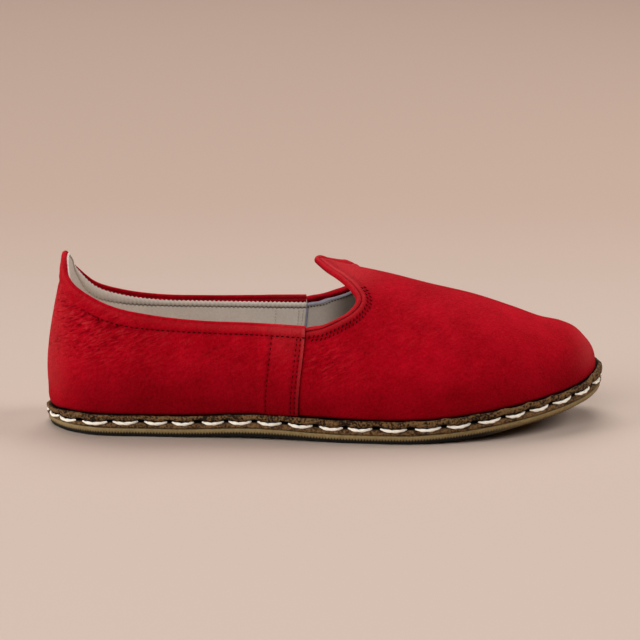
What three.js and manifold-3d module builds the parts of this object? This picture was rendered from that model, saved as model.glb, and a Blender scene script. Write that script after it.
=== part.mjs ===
// Slip-on shoe for the right foot: red nubuck upper, hand sewn to a leather sole with a thin rubber tread.
// Millimetres. +X points to the toe, +Y to the inner side of the foot, +Z up.
// The origin lies on the floor under the middle of the sole.

import * as THREE from "three";
import { mergeVertices } from "three/addons/utils/BufferGeometryUtils.js";
import Module from "manifold-3d";

// Layers of the sole, from the floor up
const LENGTH = 278;
const GAP = 0.3;
const EDGE_STAND = 2;
const TREAD_THICK = 4.4;
const LEATHER_THICK = 3.1;
const WELT_THICK = 3.8;
const INSOLE_THICK = 2;
const LEATHER_BASE = TREAD_THICK + GAP;
const WELT_BASE = LEATHER_BASE + LEATHER_THICK + GAP;
const WELT_TOP = WELT_BASE + WELT_THICK;
const UPPER_BASE = WELT_TOP + GAP;

// The upper and its edges
const LEDGE = 2.6;
const WALL = 2.2;
const INSOLE_INSET = 6.6;
const OVERLAP = { rise: 0.9, length: 17, fade: 10 };
const STRIP = { thick: 0.7, proud: 0.35, round: 0.8, shoulder: 0.55 };
const COLLAR_LEG = { side: 5, peak: 1.8, from: 12, until: 30 };
const THROAT_LEG = { side: 2.4, peak: 1.8, from: 4, until: 16 };
const STRIP_GAP = 0.35;
const THROAT_START = 0.1;
const ROOM_REACH = 0.8;
const CUT_REACH = 3;
const FOOT_CUT = 0.8;
const FOOT_REACH = 5;

// How the underside leaves the floor, by distance from the heel
const HEEL_LIFT = { height: 0.3, until: 21 };
const ARCH = { height: 1.4, from: 63, until: 150 };
const TOE_SPRING = { height: 13.2, from: 172, power: 1.7 };

// Plan of the welt: the outer and the inner edge at each distance from the heel
const HEEL_MIDDLE = 2;
const HEEL_MIDDLE_UNTIL = 80;
const TOE_MIDDLE = 18;
const PLAN_ROWS = [
  { fromHeel: 8, outer: -17.7, inner: 21.7 },
  { fromHeel: 25, outer: -30.3, inner: 33.7 },
  { fromHeel: 56, outer: -34.1, inner: 35.5 },
  { fromHeel: 91, outer: -37.7, inner: 35.6 },
  { fromHeel: 126, outer: -43.1, inner: 38.2 },
  { fromHeel: 156, outer: -47.5, inner: 42.6 },
  { fromHeel: 183, outer: -49.5, inner: 47.2 },
  { fromHeel: 206, outer: -46.4, inner: 49.38 },
  { fromHeel: 229, outer: -39.4, inner: 48.88 },
  { fromHeel: 249, outer: -29, inner: 46.6 },
  { fromHeel: 263, outer: -17.5, inner: 42.6 },
  { fromHeel: 272.5, outer: -2.5, inner: 36.5 },
];

// Edge of each layer from its lower to its upper face: the tread's edge stands clear of the floor, and the
// notch between leather and welt takes the thread
const TREAD_EDGE = [
  { inset: 8, height: 0 },
  { inset: 2.4, height: EDGE_STAND - 0.4 },
  { inset: 1.2, height: EDGE_STAND + 0.2 },
  { inset: 0.9, height: TREAD_THICK },
];
const LEATHER_EDGE = [
  { inset: 0.9, height: LEATHER_BASE },
  { inset: 0.4, height: LEATHER_BASE + 0.6 },
  { inset: 0.5, height: LEATHER_BASE + 1.8 },
  { inset: 1.6, height: LEATHER_BASE + LEATHER_THICK },
];
const WELT_EDGE = [
  { inset: 1.4, height: WELT_BASE },
  { inset: 0.2, height: WELT_BASE + 1 },
  { inset: 0, height: WELT_BASE + 2 },
  { inset: 0.4, height: WELT_BASE + 3.2 },
  { inset: 1.1, height: WELT_TOP },
];
const FOOT_ROOM = [
  { inset: -FOOT_REACH, height: UPPER_BASE - FOOT_REACH },
  { inset: -FOOT_REACH, height: UPPER_BASE },
];
const INSOLE_EDGE = [
  { inset: INSOLE_INSET, height: UPPER_BASE },
  { inset: INSOLE_INSET, height: UPPER_BASE + INSOLE_THICK },
];

// Ribs of the quarter from the heel seam forward: where the rib stands on the sole (foot), where it ends on
// the collar (top, half, height, with lift for the inner side), how full it is below (bulge, rise) and above
// (flare)
const FALL_SHARE = 0.85;
const QUARTER_ROWS = [
  { foot: 0, top: 10.3, half: 0, height: 86.1, lift: 0, bulge: 6.1, rise: 0.3, flare: 2.5 },
  { foot: 4, top: 10.4, half: 5.5, height: 84.7, lift: 0, bulge: 6.1, rise: 0.3, flare: 2.5 },
  { foot: 7, top: 11.1, half: 10.2, height: 81.8, lift: 0.4, bulge: 6, rise: 0.3, flare: 2.4 },
  { foot: 11, top: 12.5, half: 14.4, height: 76.8, lift: 0.8, bulge: 5.8, rise: 0.31, flare: 2.3 },
  { foot: 16.5, top: 15.8, half: 18.8, height: 73.2, lift: 0.2, bulge: 5.6, rise: 0.32, flare: 2.2 },
  { foot: 25, top: 23.4, half: 23.6, height: 68.6, lift: -2.1, bulge: 5.2, rise: 0.33, flare: 2 },
  { foot: 38, top: 36.5, half: 28.5, height: 63.5, lift: -1.8, bulge: 4.6, rise: 0.34, flare: 1.8 },
  { foot: 56, top: 55.6, half: 31.2, height: 60, lift: -1.2, bulge: 4.2, rise: 0.35, flare: 1.6 },
  { foot: 78, top: 78.4, half: 32.5, height: 57.8, lift: 0.3, bulge: 4, rise: 0.35, flare: 1.6 },
  { foot: 103, top: 104, half: 34.1, height: 57.1, lift: 0.8, bulge: 4, rise: 0.35, flare: 1.8 },
  { foot: 126, top: 129.4, half: 37.4, height: 56.2, lift: 1.2, bulge: 4, rise: 0.35, flare: 2 },
];

// Edge of the vamp from the collar's corner to the tip of its peak; lift raises the inner side
const THROAT_ROWS = [
  { fromHeel: 136.5, half: 37.7, height: 56.5, lift: 1.2 },
  { fromHeel: 143.5, half: 35.4, height: 59.1, lift: 1.2 },
  { fromHeel: 150.5, half: 31.2, height: 62.6, lift: 1.4 },
  { fromHeel: 154.1, half: 27, height: 67.2, lift: 3.6 },
  { fromHeel: 151.5, half: 22.5, height: 71.6, lift: 5 },
  { fromHeel: 145.5, half: 16.2, height: 76.2, lift: 1.5 },
  { fromHeel: 138.5, half: 8.8, height: 79.9, lift: 0.1 },
  { fromHeel: 133.9, half: 0, height: 83, lift: 0 },
];

// Ribs across the vamp: the ridge point and how full the rib is on each side; the lower share of each rib
// goes on from the quarter's wall, the rest from the throat
const VAMP_BULGE = 0.07;
const WALL_SHARE = 0.4;
const VAMP_ROWS = [
  { fromHeel: 168, middle: 0.5, height: 75.4, outerFull: 0.52, innerFull: 0.56 },
  { fromHeel: 191, middle: 1.5, height: 69.2, outerFull: 0.52, innerFull: 0.58 },
  { fromHeel: 213, middle: 4, height: 63.5, outerFull: 0.53, innerFull: 0.58 },
  { fromHeel: 232, middle: 6.8, height: 56.8, outerFull: 0.55, innerFull: 0.58 },
  { fromHeel: 247, middle: 9.8, height: 50.9, outerFull: 0.57, innerFull: 0.59 },
  { fromHeel: 257, middle: 12, height: 48.4, outerFull: 0.58, innerFull: 0.59 },
  { fromHeel: 264.4, middle: 13.7, height: 45, outerFull: 0.58, innerFull: 0.58 },
  { fromHeel: 269.4, middle: 15.2, height: 40.1, outerFull: 0.57, innerFull: 0.57 },
  { fromHeel: 272.6, middle: 16.4, height: 36, outerFull: 0.56, innerFull: 0.56 },
  { fromHeel: 274.3, middle: 17.1, height: 32, outerFull: 0.55, innerFull: 0.55 },
];

// Fineness of the surfaces
const PLAN_STEPS = 3;
const WALL_STEPS = 7;
const THROAT_STEPS = 2;
const THROAT_SPANS = THROAT_ROWS.length * THROAT_STEPS;
const RIB_STEPS = 2;
const SEAM_EDGE = 0.02;
const BISECTIONS = 40;
const SHEET_WELD = 1e-3;
const BODY_WELD = 1e-4;
const OUTER = -1;
const INNER = 1;

const wasm = await Module();
wasm.setup();

const along = (fromHeel) => fromHeel - LENGTH / 2;
const across = (fromHeel) => HEEL_MIDDLE * Math.max(0, 1 - fromHeel / HEEL_MIDDLE_UNTIL);

const plan = new THREE.CatmullRomCurve3([
  new THREE.Vector3(along(0), HEEL_MIDDLE, 0),
  ...PLAN_ROWS.map((row) => new THREE.Vector3(along(row.fromHeel), row.outer, 0)),
  new THREE.Vector3(along(LENGTH), TOE_MIDDLE, 0),
  ...PLAN_ROWS.toReversed().map((row) => new THREE.Vector3(along(row.fromHeel), row.inner, 0)),
], true);

function floorRise(x) {
  const fromHeel = x + LENGTH / 2;
  if (fromHeel < HEEL_LIFT.until) {
    return HEEL_LIFT.height * (1 - fromHeel / HEEL_LIFT.until) ** 2;
  }
  if (fromHeel > TOE_SPRING.from) {
    const share = (fromHeel - TOE_SPRING.from) / (LENGTH - TOE_SPRING.from);
    return TOE_SPRING.height * share ** TOE_SPRING.power;
  }
  const share = (fromHeel - ARCH.from) / (ARCH.until - ARCH.from);
  return share > 0 && share < 1 ? ARCH.height * Math.sin(Math.PI * share) ** 2 : 0;
}

function planOutward(turn) {
  const run = plan.getTangent(turn);
  return new THREE.Vector3(run.y, -run.x, 0);
}

// A point of the sole: turn runs once round the plan from the heel by way of the outer side
function onSole(turn, inset, height) {
  const point = plan.getPoint(turn).addScaledVector(planOutward(turn), -inset);
  return point.setZ(floorRise(point.x) + height);
}

// The turn at which the upper's foot line has a given distance from the heel
function footTurn(fromHeel, side) {
  let near = 0;
  let far = 0.5;
  for (let step = 0; step < BISECTIONS; step += 1) {
    const middle = (near + far) / 2;
    const turn = side === OUTER ? middle : 1 - middle;
    if (onSole(turn, LEDGE, 0).x < along(fromHeel)) {
      near = middle;
    } else {
      far = middle;
    }
  }
  const found = fromHeel < LENGTH / 2 ? near : far;
  return side === OUTER ? found : 1 - found;
}

// The wall starts a little low, so that its foot can be cut level above the welt
function footPoint(turn) {
  return onSole(turn, LEDGE, UPPER_BASE - FOOT_CUT);
}

function bodyFrom(points, triangles) {
  const geometry = new THREE.BufferGeometry().setFromPoints(points);
  geometry.setIndex(triangles.flat());
  return geometry;
}

function addQuad(triangles, first, second, third, fourth) {
  triangles.push([first, second, third]);
  triangles.push([first, third, fourth]);
}

// A layer of the sole between two faces that follow the underside
function slab(edgeRows) {
  const count = plan.points.length * PLAN_STEPS;
  const points = edgeRows.flatMap(({ inset, height }) =>
    Array.from({ length: count }, (_, step) => onSole(step / count, inset, height)));
  const triangles = [];
  for (let row = 0; row + 1 < edgeRows.length; row += 1) {
    for (let step = 0; step < count; step += 1) {
      const next = (step + 1) % count;
      const low = row * count;
      const high = low + count;
      addQuad(triangles, low + step, low + next, high + next, high + step);
    }
  }
  const lid = (edgeRows.length - 1) * count;
  for (let step = 0; step < count / 2; step += 1) {
    const facing = count - step - 1;
    const last = (facing + 1) % count;
    if (step + 1 !== facing) {
      triangles.push([lid + step, lid + step + 1, lid + facing]);
      triangles.push([facing, step + 1, step]);
    }
    if (last !== step) {
      triangles.push([lid + step, lid + facing, lid + last]);
      triangles.push([last, facing, step]);
    }
  }
  return bodyFrom(points, triangles);
}

function ribCurve(foot, footOut, top, topOut, row) {
  const height = top.z - foot.z;
  const low = foot.clone().addScaledVector(footOut, row.bulge);
  low.z += row.rise * height;
  const high = top.clone().addScaledVector(topOut, row.flare);
  high.z -= row.fall * height;
  return new THREE.CubicBezierCurve3(foot, low, high, top);
}

function edgeHeight(row, side) {
  return row.height + (side === INNER ? row.lift : 0);
}

function collarPoint(row, side) {
  return new THREE.Vector3(along(row.top), across(row.top) + side * row.half, edgeHeight(row, side));
}

function quarterRib(row, side) {
  const turn = footTurn(row.foot, side);
  const out = planOutward(turn);
  const fullness = { ...row, fall: FALL_SHARE * row.rise };
  return ribCurve(footPoint(turn), out, collarPoint(row, side), out, fullness).getSpacedPoints(WALL_STEPS);
}

// The vamp's first rib: up the seam, then along the edge of the throat to the tip
function throatRib() {
  const corner = QUARTER_ROWS.at(-1);
  const edgeAt = (row, side) =>
    new THREE.Vector3(along(row.fromHeel), side * row.half, edgeHeight(row, side));
  const edge = new THREE.CatmullRomCurve3([
    collarPoint(corner, OUTER),
    ...THROAT_ROWS.map((row) => edgeAt(row, OUTER)),
    ...THROAT_ROWS.slice(0, -1).toReversed().map((row) => edgeAt(row, INNER)),
    collarPoint(corner, INNER),
  ]);
  return [
    ...quarterRib(corner, OUTER).slice(0, -1),
    ...edge.getPoints(THROAT_SPANS * 2),
    ...quarterRib(corner, INNER).toReversed().slice(1),
  ];
}

// Shares along a vamp rib: the steps of the quarter's wall, then the steps of the throat
const ribShares = [
  ...Array.from({ length: WALL_STEPS }, (_, step) => WALL_SHARE * step / WALL_STEPS),
  ...Array.from({ length: THROAT_SPANS + 1 }, (_, step) =>
    WALL_SHARE + (1 - WALL_SHARE) * step / THROAT_SPANS),
];

function vampRib(row) {
  const ridge = new THREE.Vector3(along(row.fromHeel), row.middle, row.height);
  const half = (side, full) => {
    const turn = footTurn(row.fromHeel, side);
    const foot = footPoint(turn);
    const sideways = new THREE.Vector3(0, side, 0);
    const flare = full * Math.abs(foot.y - ridge.y);
    const bulge = VAMP_BULGE * (ridge.z - foot.z);
    const curve = ribCurve(foot, planOutward(turn), ridge, sideways, { bulge, rise: full, flare, fall: 0 });
    return ribShares.map((share) => curve.getPointAt(share));
  };
  return [...half(OUTER, row.outerFull), ...half(INNER, row.innerFull).toReversed().slice(1)];
}

// Columns of points skinned through ribs, at given places counted in ribs
function skin(ribs, places) {
  const runs = ribs[0].map((_, row) => new THREE.CatmullRomCurve3(ribs.map((rib) => rib[row])));
  return places.map((place) => runs.map((run) => run.getPoint(place / (ribs.length - 1))));
}

function evenPlaces(spans) {
  return Array.from({ length: spans * RIB_STEPS + 1 }, (_, step) => step / RIB_STEPS);
}

const quarterRibs = [
  ...QUARTER_ROWS.toReversed().map((row) => quarterRib(row, OUTER)),
  ...QUARTER_ROWS.slice(1).map((row) => quarterRib(row, INNER)),
];
const quarterSpans = quarterRibs.length - 1;
const quarterPlaces = evenPlaces(quarterSpans);
quarterPlaces.splice(1, 0, SEAM_EDGE);
quarterPlaces.splice(-1, 0, quarterSpans - SEAM_EDGE);
const quarterColumns = skin(quarterRibs, quarterPlaces);

const toePoint = footPoint(0.5);
const vampRibs = [throatRib(), ...VAMP_ROWS.map(vampRib)];
vampRibs.push(vampRibs[0].map(() => toePoint));
const vampColumns = skin(vampRibs, evenPlaces(vampRibs.length - 1));

// How far the quarter stands proud where it lies on the vamp
function overlapRise(place, point) {
  if (place <= 0 || place >= quarterSpans) {
    return 0;
  }
  const seam = along(QUARTER_ROWS.at(-1).foot);
  const behind = seam - point.x - OVERLAP.length;
  return OVERLAP.rise * (1 - THREE.MathUtils.smoothstep(behind, 0, OVERLAP.fade));
}

function gridQuads(columns, start, flip) {
  const rows = columns[0].length;
  const triangles = [];
  for (let column = 0; column + 1 < columns.length; column += 1) {
    for (let row = 0; row + 1 < rows; row += 1) {
      const here = start + column * rows + row;
      const corners = [here, here + rows, here + rows + 1, here + 1];
      addQuad(triangles, ...(flip ? corners.toReversed() : corners));
    }
  }
  return triangles;
}

// The middle sheet of the upper: points, outward normals and how far each stands proud
function upperSheet() {
  const points = [...quarterColumns.flat(), ...vampColumns.flat()];
  const proud = [
    ...quarterColumns.flatMap((column, index) =>
      column.map((point) => overlapRise(quarterPlaces[index], point))),
    ...vampColumns.flat().map(() => 0),
  ];
  const triangles = [
    ...gridQuads(quarterColumns, 0, true),
    ...gridQuads(vampColumns, quarterColumns.flat().length, false),
  ];
  const loose = bodyFrom(points, triangles);
  loose.setAttribute("proud", new THREE.Float32BufferAttribute(proud, 1));
  const sheet = mergeVertices(loose, SHEET_WELD);
  const corners = sheet.index.array;
  const kept = [];
  for (let place = 0; place < corners.length; place += 3) {
    const [first, second, third] = corners.slice(place, place + 3);
    if (first !== second && second !== third && third !== first) {
      kept.push(first, second, third);
    }
  }
  sheet.setIndex(kept);
  sheet.computeVertexNormals();
  return sheet;
}

const sheet = upperSheet();

function sheetPoint(index, depth) {
  const point = new THREE.Vector3().fromBufferAttribute(sheet.attributes.position, index);
  const normal = new THREE.Vector3().fromBufferAttribute(sheet.attributes.normal, index);
  return point.addScaledVector(normal, depth);
}

// The sheet made thick: outer skin, inner skin and a rim along every free edge
function upperShell() {
  const count = sheet.attributes.position.count;
  const proud = sheet.attributes.proud;
  const places = Array.from({ length: count }, (_, index) => index);
  const points = [
    ...places.map((index) => sheetPoint(index, proud.getX(index))),
    ...places.map((index) => sheetPoint(index, -WALL)),
  ];
  const triangles = [];
  const edges = new Map();
  const corners = sheet.index.array;
  for (let place = 0; place < corners.length; place += 3) {
    const face = [corners[place], corners[place + 1], corners[place + 2]];
    triangles.push(face);
    triangles.push(face.toReversed().map((index) => index + count));
    face.forEach((from, turn) => {
      const to = face[(turn + 1) % 3];
      if (!edges.delete(`${to},${from}`)) {
        edges.set(`${from},${to}`, [from, to]);
      }
    });
  }
  for (const [from, to] of edges.values()) {
    addQuad(triangles, to, from, from + count, to + count);
  }
  return bodyFrom(points, triangles);
}

// Stations along an edge of the sheet: place, outward normal, direction into the leather, wall there
function edgeStations(edge, inward, proud) {
  const nearest = (point) => {
    const position = sheet.attributes.position;
    const probe = new THREE.Vector3();
    let best = 0;
    let bestGap = Infinity;
    for (let index = 0; index < position.count; index += 1) {
      const gap = probe.fromBufferAttribute(position, index).distanceToSquared(point);
      if (gap < bestGap) {
        best = index;
        bestGap = gap;
      }
    }
    return best;
  };
  let travelled = 0;
  let agreement = 0;
  const stations = edge.map((point, index) => {
    const normal = new THREE.Vector3().fromBufferAttribute(sheet.attributes.normal, nearest(point));
    const before = edge[Math.max(index - 1, 0)];
    const after = edge[Math.min(index + 1, edge.length - 1)];
    const run = after.clone().sub(before).normalize();
    const into = new THREE.Vector3().crossVectors(normal, run).normalize();
    agreement += into.dot(inward[index].clone().sub(point));
    travelled += index > 0 ? point.distanceTo(edge[index - 1]) : 0;
    const rise = proud[index];
    const place = point.clone().addScaledVector(normal, rise);
    return { place, normal, into, run, travelled, wall: WALL + rise };
  });
  stations.forEach((station) => station.into.multiplyScalar(Math.sign(agreement)));
  return stations;
}

// The strip is narrower where it turns over the tip of a peak
function setLegs(stations, leg, tip) {
  const peak = stations.reduce((best, station) => (tip(station) > tip(best) ? station : best));
  return stations.map((station) => {
    const away = Math.abs(station.travelled - peak.travelled);
    const share = THREE.MathUtils.smoothstep(away, leg.from, leg.until);
    return { ...station, leg: leg.peak + (leg.side - leg.peak) * share };
  });
}

// Outline of a folded strip over the edge, as depth into the leather and distance off its outer face
function stripOutline({ wall, leg }) {
  const outside = STRIP.proud;
  const inside = -wall - STRIP.proud;
  const shoulder = STRIP.round - STRIP.shoulder;
  return [
    [leg, outside],
    [STRIP.round, outside],
    [shoulder, outside - STRIP.shoulder],
    [0, -wall / 2],
    [shoulder, inside + STRIP.shoulder],
    [STRIP.round, inside],
    [leg, inside],
    [leg, inside + STRIP.thick],
    [STRIP.thick, inside + STRIP.thick],
    [STRIP.thick, outside - STRIP.thick],
    [leg, outside - STRIP.thick],
  ];
}

// The room that a strip takes from the wall, wider than the strip itself
function stripRoom({ wall, leg }) {
  const tongueOut = STRIP.proud - STRIP.thick - STRIP_GAP;
  const tongueIn = -wall - tongueOut;
  const bottom = leg + 2 * STRIP_GAP;
  const top = STRIP.thick + STRIP_GAP;
  return [
    [bottom, CUT_REACH],
    [-CUT_REACH, CUT_REACH],
    [-CUT_REACH, -wall - CUT_REACH],
    [bottom, -wall - CUT_REACH],
    [bottom, tongueIn],
    [top, tongueIn],
    [top, tongueOut],
    [bottom, tongueOut],
  ];
}

function sweep(stations, outline) {
  const rings = stations.map((station) => outline(station).map(([depth, off]) =>
    station.place.clone().addScaledVector(station.into, depth).addScaledVector(station.normal, off)));
  const sides = rings[0].length;
  const triangles = [];
  for (let ring = 0; ring + 1 < rings.length; ring += 1) {
    for (let side = 0; side < sides; side += 1) {
      const next = (side + 1) % sides;
      const here = ring * sides;
      const there = here + sides;
      addQuad(triangles, here + side, here + next, there + next, there + side);
    }
  }
  const flat = outline(stations[0]).map(([depth, off]) => new THREE.Vector2(depth, off));
  const last = (rings.length - 1) * sides;
  for (const face of THREE.ShapeUtils.triangulateShape(flat, [])) {
    triangles.push(face.toReversed());
    triangles.push(face.map((index) => index + last));
  }
  return bodyFrom(rings.flat(), triangles);
}

// Stations with both ends moved along the edge
function stretched(stations, by) {
  const moved = stations.map((station) => ({ ...station, place: station.place.clone() }));
  moved[0].place.addScaledVector(moved[0].run, -by);
  moved.at(-1).place.addScaledVector(moved.at(-1).run, by);
  return moved;
}

function solid(geometry) {
  const welded = mergeVertices(new THREE.BufferGeometry()
    .setAttribute("position", geometry.attributes.position)
    .setIndex(geometry.index), BODY_WELD);
  return new wasm.Manifold(new wasm.Mesh({
    numProp: 3,
    vertProperties: new Float32Array(welded.attributes.position.array),
    triVerts: new Uint32Array(welded.index.array),
  }));
}

function geometryOf(body) {
  const mesh = body.getMesh();
  const geometry = new THREE.BufferGeometry();
  geometry.setAttribute("position", new THREE.BufferAttribute(new Float32Array(mesh.vertProperties), 3));
  geometry.setIndex(new THREE.BufferAttribute(new Uint32Array(mesh.triVerts), 1));
  return geometry;
}

function collarStations() {
  const inside = quarterColumns.slice(1, -1);
  const places = quarterPlaces.slice(1, -1);
  const edge = inside.map((column) => column.at(-1));
  const stations = edgeStations(
    edge,
    inside.map((column) => column.at(-2)),
    edge.map((point, index) => overlapRise(places[index], point)),
  );
  return setLegs(stations, COLLAR_LEG, (station) => station.place.z);
}

function throatStations() {
  const rows = vampColumns[0].length;
  const edge = vampColumns[0].slice(WALL_STEPS, rows - WALL_STEPS).toReversed();
  const beside = vampColumns[1].slice(WALL_STEPS, rows - WALL_STEPS).toReversed();
  edge[0] = edge[0].clone().lerp(edge[1], THROAT_START);
  edge[edge.length - 1] = edge.at(-1).clone().lerp(edge.at(-2), THROAT_START);
  const stations = edgeStations(edge, beside, edge.map(() => 0));
  return setLegs(stations, THROAT_LEG, (station) => station.place.z);
}

const collar = collarStations();
const throat = throatStations();
const upper = solid(upperShell())
  .subtract(solid(slab(FOOT_ROOM)))
  .subtract(solid(sweep(stretched(collar, ROOM_REACH), stripRoom)))
  .subtract(solid(sweep(stretched(throat, ROOM_REACH), stripRoom)));

function piece(name, geometry, color, roughness) {
  const mesh = new THREE.Mesh(geometry, new THREE.MeshStandardMaterial({ color, roughness, metalness: 0 }));
  mesh.name = name;
  mesh.material.name = name;
  return mesh;
}

const shoe = new THREE.Group();
shoe.name = "slip_on_shoe";
shoe.add(
  piece("outsole", slab(TREAD_EDGE), 0x84693f, 0.85),
  piece("sole_leather", slab(LEATHER_EDGE), 0x6a4a2a, 0.8),
  piece("welt", slab(WELT_EDGE), 0x6e4c2c, 0.85),
  piece("insole", slab(INSOLE_EDGE), 0xcbb9a2, 0.8),
  piece("upper", geometryOf(upper), 0x96101a, 0.75),
  piece("collar_binding", sweep(collar, stripOutline), 0xa01822, 0.7),
  piece("throat_binding", sweep(throat, stripOutline), 0xa01822, 0.7),
);

export default shoe;
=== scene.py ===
import math
import bmesh
import bpy
import numpy as np
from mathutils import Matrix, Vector


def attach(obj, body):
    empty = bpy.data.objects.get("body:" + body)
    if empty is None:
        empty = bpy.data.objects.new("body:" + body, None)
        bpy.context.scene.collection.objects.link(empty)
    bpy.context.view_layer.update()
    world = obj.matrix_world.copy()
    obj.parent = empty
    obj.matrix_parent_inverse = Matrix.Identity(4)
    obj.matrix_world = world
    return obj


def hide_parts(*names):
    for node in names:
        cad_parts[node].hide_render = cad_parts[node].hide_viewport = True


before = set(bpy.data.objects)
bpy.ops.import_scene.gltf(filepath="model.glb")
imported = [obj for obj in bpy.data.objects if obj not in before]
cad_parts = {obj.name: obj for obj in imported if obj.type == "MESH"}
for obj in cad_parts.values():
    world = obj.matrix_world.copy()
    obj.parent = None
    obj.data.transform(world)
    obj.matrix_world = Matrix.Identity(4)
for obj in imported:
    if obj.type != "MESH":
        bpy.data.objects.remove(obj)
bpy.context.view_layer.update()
mm = 0.001
outer, inner = -1, 1  # sides of the foot: outer is the little toe's side
sharpFrom = 50.0  # degrees between two faces from which their edge is crisp
print("frame loaded:", ", ".join(sorted(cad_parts)))

# The last, in millimetres, with distances counted from the heel; the solids have the same sizes
last = {
    "length": 278.0,
    "heelMiddle": 2.0,
    "heelMiddleUntil": 80.0,
    "toeMiddle": 18.0,
    "heelLift": 0.3,
    "heelLiftUntil": 21.0,
    "arch": 1.4,
    "archFrom": 63.0,
    "archUntil": 150.0,
    "spring": 13.2,
    "springFrom": 172.0,
    "springPower": 1.7,
    "plan": [  # from heel, outer edge, inner edge
        (8, -17.7, 21.7),
        (25, -30.3, 33.7),
        (56, -34.1, 35.5),
        (91, -37.7, 35.6),
        (126, -43.1, 38.2),
        (156, -47.5, 42.6),
        (183, -49.5, 47.2),
        (206, -46.4, 49.38),
        (229, -39.4, 48.88),
        (249, -29, 46.6),
        (263, -17.5, 42.6),
        (272.5, -2.5, 36.5),
    ],
}

upperForm = {
    "ledge": 2.6,
    "base": 11.4,
    "wall": 2.2,
    "cornerShare": 0.978,  # the vamp's corner stays a little below the collar
    "footSink": 0.7,  # how far the foot sinks into the welt, and how much further round the heel
    "heelSink": 1.5,
    "sinkReach": 8.0,
    "footSinkFade": (60, 130),
    "heelSinkFade": (2, 14),
    "footTuck": 0.6,  # how far the foot turns in, and over which height
    "footTuckReach": 1.5,
    "fallShare": 0.85,
    "wallShare": 0.4,
    "vampBulge": 0.07,
    "quarter": [  # foot, top, half, height, lift of the inner side, bulge, rise, flare
        (0, 10.3, 0, 86.1, 0, 6.1, 0.3, 2.5),
        (4, 10.4, 5.5, 84.7, 0, 6.1, 0.3, 2.5),
        (7, 11.1, 10.2, 81.8, 0.4, 6, 0.3, 2.4),
        (11, 12.5, 14.4, 76.8, 0.8, 5.8, 0.31, 2.3),
        (16.5, 15.8, 18.8, 73.2, 0.2, 5.6, 0.32, 2.2),
        (25, 23.4, 23.6, 68.6, -2.1, 5.2, 0.33, 2),
        (38, 36.5, 28.5, 63.5, -1.8, 4.6, 0.34, 1.8),
        (56, 55.6, 31.2, 60, -1.2, 4.2, 0.35, 1.6),
        (78, 78.4, 32.5, 57.8, 0.3, 4, 0.35, 1.6),
        (103, 104, 34.1, 57.1, 0.8, 4, 0.35, 1.8),
        (126, 129.4, 37.4, 56.2, 1.2, 4, 0.35, 2),
    ],
    "throat": [  # from heel, half, height, lift of the inner side
        (136.5, 37.7, 56.5, 1.2),
        (143.5, 35.4, 59.1, 1.2),
        (150.5, 31.2, 62.6, 1.4),
        (154.1, 27, 67.2, 3.6),
        (151.5, 22.5, 71.6, 5),
        (145.5, 16.2, 76.2, 1.5),
        (138.5, 8.8, 79.9, 0.1),
        (133.9, 0, 83, 0),
    ],
    "vamp": [  # from heel, middle, height, fullness outside, fullness inside
        (168, 0.5, 75.4, 0.52, 0.56),
        (191, 1.5, 69.2, 0.52, 0.58),
        (213, 4, 63.5, 0.53, 0.58),
        (232, 6.8, 56.8, 0.55, 0.58),
        (247, 9.8, 50.9, 0.57, 0.59),
        (257, 12, 48.4, 0.58, 0.59),
        (264.4, 13.7, 45, 0.58, 0.58),
        (269.4, 15.2, 40.1, 0.57, 0.57),
        (272.6, 16.4, 36, 0.56, 0.56),
        (274.3, 17.1, 32, 0.55, 0.55),
    ],
}


def smooth(value, start, end):
    share = np.clip((value - start) / (end - start), 0, 1)
    return share * share * (3 - 2 * share)


def hump(value, centre, width):
    return np.exp(-(((value - centre) / width) ** 2))


def atLeast(least, share):  # a share that never falls below the least
    return least + (1 - least) * share


def unit(vectors):
    return vectors / np.maximum(np.linalg.norm(vectors, axis=-1, keepdims=True), 1e-9)


def runOf(line):  # length travelled along a line of points
    return np.concatenate([[0], np.cumsum(np.linalg.norm(np.diff(line, axis=0), axis=1))])


def runAcross(grid):  # length travelled from the first column, along each row
    step = np.linalg.norm(np.diff(grid, axis=0), axis=2)
    return np.concatenate([np.zeros((1, grid.shape[1])), np.cumsum(step, axis=0)])


def readLine(line, run, wanted):
    return np.stack([np.interp(wanted, run, line[:, axis]) for axis in range(3)], axis=-1)


def catmull(points, places, closed=False):
    # centripetal spline through points, read at places that are counted in points
    points = np.asarray(points, float)
    places = np.asarray(places, float)
    count = len(points)
    if closed:
        first = np.floor(places).astype(int)
        p0, p1, p2, p3 = (points[(first + step) % count] for step in (-1, 0, 1, 2))
    else:
        first = np.clip(np.floor(places).astype(int), 0, count - 2)
        longer = np.concatenate([[2 * points[0] - points[1]], points, [2 * points[-1] - points[-2]]])
        p0, p1, p2, p3 = (longer[first + step] for step in range(4))
    d0, d1, d2 = (
        np.sqrt(np.linalg.norm(b - a, axis=-1, keepdims=True)) for a, b in ((p0, p1), (p1, p2), (p2, p3))
    )
    d1 = np.where(d1 < 1e-4, 1, d1)
    d0 = np.where(d0 < 1e-4, d1, d0)
    d2 = np.where(d2 < 1e-4, d1, d2)
    lead = ((p1 - p0) / d0 - (p2 - p0) / (d0 + d1) + (p2 - p1) / d1) * d1
    tail = ((p2 - p1) / d1 - (p3 - p1) / (d1 + d2) + (p3 - p2) / d2) * d1
    w = (places - first).reshape((-1,) + (1,) * (points.ndim - 1))
    square = -3 * p1 + 3 * p2 - 2 * lead - tail
    cube = 2 * p1 - 2 * p2 + lead + tail
    return p1 + lead * w + square * w**2 + cube * w**3


def along(fromHeel):
    return fromHeel - last["length"] / 2


def across(fromHeel):
    return last["heelMiddle"] * max(0.0, 1 - fromHeel / last["heelMiddleUntil"])


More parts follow.
